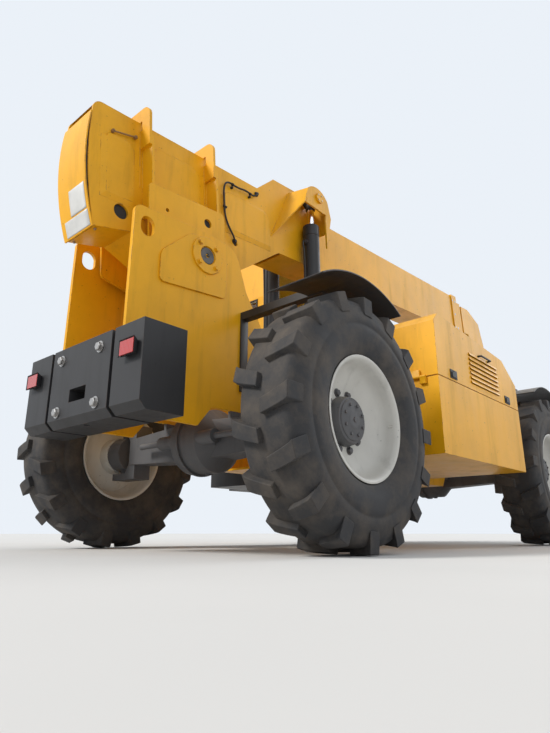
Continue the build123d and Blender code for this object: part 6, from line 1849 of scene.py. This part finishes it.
@dataclass
class Lighting:
    """Lamps and mirror, which stand for the lamps node: black housings with ribbed lenses."""

    cab: Cab
    width: float = 0.130
    height: float = 0.090
    rim: float = 0.009
    taper: float = 0.72
    tail_x: float = REAR_X - 0.9343
    head_x: float = REAR_X + 3.700

    def housing(self, bm: Mesh, centre: Point, depth: float, face: int) -> None:
        """Adds a lamp's tapered body with a hollow front.

        Args:
            bm: the mesh.
            centre: the middle of the body's rear face.
            depth: its depth along X.
            face: 1 where it shines forward, -1 where backward.
        """
        part = bmesh.new()
        bmesh.ops.create_cube(part, size=1.0)
        for vert in part.verts:
            x, y, z = vert.co
            share = 1.0 if x * face > 0 else self.taper
            spot = ((x + 0.5) * depth, y * self.width * share, z * self.height * share)
            vert.co = Vector(centre) + Vector(spot)
        front = max(part.faces, key=lambda f: f.calc_center_median().x * face)
        bmesh.ops.inset_region(part, faces=[front], thickness=0.008, depth=0.0)
        bmesh.ops.translate(part, vec=(-face * 0.012, 0, 0), verts=list(front.verts))
        pour(bm, part)

    def lens(self, bm: Mesh, centre: Point, depth: float, face: int) -> None:
        """Adds a lamp's lens inside its rim.

        Args:
            bm: the mesh.
            centre: the middle of the lamp's rear face.
            depth: its depth along X.
            face: 1 where it shines forward, -1 where backward.
        """
        x, y, z = centre
        front, w, h = x + (depth if face > 0 else 0.0), self.width / 2 - self.rim, self.height / 2 - self.rim
        box_of(bm, (front - face * 0.013, y - w, z - h), (front - face * 0.003, y + w, z + h))

    def build(self) -> None:
        """Builds all the lamps and the mirror."""
        cab, roof = self.cab, self.cab.roof_z + self.height / 2 + 0.0003
        work = (
            ((REAR_X + cab.rear + 0.165, cab.outer_y - 0.120, roof), 0.070, -1),
            ((REAR_X + cab.roof_front - 0.155, cab.outer_y - 0.120, roof), 0.070, 1),
            ((REAR_X + cab.roof_front - 0.155, cab.inner_y + 0.120, roof), 0.070, 1),
            ((self.head_x, 0.3803, 0.860), 0.090, 1),
            ((self.head_x, -0.3803, 0.860), 0.090, 1),
        )
        tail = (((self.tail_x, 0.470, 0.940), 0.034, -1), ((self.tail_x, -0.470, 0.940), 0.034, -1))
        bodies, clear, red = bmesh.new(), bmesh.new(), bmesh.new()
        for lamps, lenses in ((work, clear), (tail, red)):
            for lamp in lamps:
                self.housing(bodies, *lamp)
                self.lens(lenses, *lamp)
        piece = ease_edges(as_piece("lamp_housings", bodies, "chassis", Slot.PLASTIC), 0.004)
        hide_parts("lamps")
        ease_edges(as_piece("lamp_lenses", clear, "chassis", Slot.LAMP), 0.002)
        ease_edges(as_piece("tail_lenses", red, "chassis", Slot.LAMP, RED_LENS), 0.002)
        self.mirror(REAR_X + cab.front_high, cab.outer_y)

    def mirror(self, x: float, y: float) -> None:
        """Builds the mirror on its arm.

        Args:
            x: the cab's front at its waist.
            y: the cab's outer side.
        """
        bend = ((0.0, 1.520), (0.09, 1.520), (0.122, 1.525), (0.122, 1.600))
        run_of("mirror_arm", [[(x + a, y - 0.06, z) for a, z in bend]], 0.012, "chassis", Slot.PLASTIC, TRIM)
        shell, glass = bmesh.new(), bmesh.new()
        box_of(shell, (x + 0.110, y - 0.150, 1.560), (x + 0.140, y + 0.020, 1.860))
        round_off(shell, 0.012)
        as_piece("mirror_housing", shell, "chassis", Slot.PLASTIC, smooth_angle=60)
        box_of(glass, (x + 0.1085, y - 0.136, 1.576), (x + 0.1105, y + 0.006, 1.844))
        as_piece("mirror_glass", glass, "chassis", Slot.LAMP, MIRROR_GLASS)


@dataclass
class Studio:
    """Floor, lights and the camera at the photograph's viewpoint."""

    eye: Point = (-5.0375, -2.6115, 0.1029)
    yaw: float = 41.45
    pitch: float = 16.83
    lens: float = 36.0
    sensor: float = 36.0
    floor_half: float = 60.0
    ambient: Colour = (0.93, 0.96, 1.0)
    ambient_strength: float = 0.47
    backdrop: Colour = (0.83, 0.88, 0.94)

    def floor(self) -> None:
        """A plain pale floor."""
        bm = bmesh.new()
        bmesh.ops.create_grid(bm, x_segments=1, y_segments=1, size=self.floor_half)
        mesh = bpy.data.meshes.new("floor")
        bm.to_mesh(mesh)
        bm.free()
        floor = bpy.data.objects.new("floor", mesh)
        bpy.context.scene.collection.objects.link(floor)
        g = Graph("pale_floor")
        g.paint_with(g.ramp(g.noise(0.7, 3.0), "Fac", 0.3, (0.63, 0.63, 0.625), 0.7, (0.66, 0.66, 0.655)))
        g.set(Roughness=0.85)
        mesh.materials.append(g.material)

    def world(self) -> None:
        """An even pale surround, and the backdrop that the camera and reflections see."""
        world = bpy.data.worlds.new("studio")
        world.use_nodes = True
        bpy.context.scene.world = world
        tree = world.node_tree
        tree.nodes.clear()
        light, seen, path, either, both, mix, out = (tree.nodes.new(f"ShaderNode{kind}") for kind in (
            "Background", "Background", "LightPath", "Math", "Math", "MixShader", "OutputWorld"))
        for node, colour, strength in ((light, self.ambient, self.ambient_strength), (seen, self.backdrop, 1.0)):
            node.inputs["Color"].default_value = (*colour, 1.0)
            node.inputs["Strength"].default_value = strength
        either.operation = both.operation = "MAXIMUM"
        for source, output, target, socket in (
            (path, "Is Camera Ray", either, 0), (path, "Is Glossy Ray", either, 1), (either, 0, both, 0),
            (path, "Is Transmission Ray", both, 1), (both, 0, mix, "Fac"), (light, 0, mix, 1), (seen, 0, mix, 2),
            (mix, 0, out, "Surface"),
        ):
            tree.links.new(source.outputs[output], target.inputs[socket])

    def sun(self, name: str, source: Point, strength: float, spread: float, colour: Colour) -> None:
        """A distant soft lamp, which lights the whole floor evenly.

        Args:
            name: its name.
            source: the way that the light comes from.
            strength: its strength.
            spread: its angle across, in degrees, for soft shadows.
            colour: its colour.
        """
        data = bpy.data.lights.new(name, "SUN")
        data.energy, data.angle, data.color = strength, math.radians(spread), colour
        lamp = bpy.data.objects.new(name, data)
        lamp.rotation_mode = "QUATERNION"
        lamp.rotation_quaternion = (-Vector(source)).to_track_quat("-Z", "Y")
        bpy.context.scene.collection.objects.link(lamp)

    def camera(self) -> None:
        """The camera low behind the machine's right rear corner, looking up and forward."""
        data = bpy.data.cameras.new("camera")
        data.sensor_width, data.sensor_fit, data.lens = self.sensor, "HORIZONTAL", self.lens
        data.clip_start, data.clip_end = 0.02, 300.0
        camera = bpy.data.objects.new("camera", data)
        camera.location = self.eye
        yaw, pitch = math.radians(self.yaw), math.radians(self.pitch)
        look = Vector((math.cos(yaw) * math.cos(pitch), math.sin(yaw) * math.cos(pitch), math.sin(pitch)))
        camera.rotation_mode = "QUATERNION"
        camera.rotation_quaternion = look.to_track_quat("-Z", "Y")
        bpy.context.scene.collection.objects.link(camera)
        bpy.context.scene.camera = camera

    def build(self) -> None:
        """Sets up the whole studio."""
        bpy.context.scene.view_settings.view_transform = "Standard"
        self.floor()
        self.world()
        self.sun("key", (-9.0, 4.0, 7.5), 2.85, 14.0, (1.0, 0.97, 0.92))
        self.sun("fill", (-3.0, -9.0, 5.0), 0.45, 40.0, (0.95, 0.97, 1.0))
        self.sun("front", (9.0, -2.0, 6.0), 0.8, 40.0, (1.0, 1.0, 1.0))
        self.camera()


def main() -> None:
    """Builds the studio and dresses each sub-assembly."""
    logging.basicConfig(level=logging.INFO, format="%(name)s %(message)s")
    random.seed(7)
    Studio().build()
    refinish_all()
    for name in ("front_left", "front_right", "rear_left", "rear_right"):
        Wheel(name, Side.LEFT if name.endswith("left") else Side.RIGHT).build()
    for ram in rams():
        ram.build()
    cab = Cab()
    for assembly in (TailDress(), SideLine(), PivotDress(), Exhaust(), PodDress(), HitchDress(), AxleDress(), cab,
                     Lighting(cab)):
        assembly.build()
        log.info("%s is dressed", type(assembly).__name__)


if __name__ == "__main__":
    main()
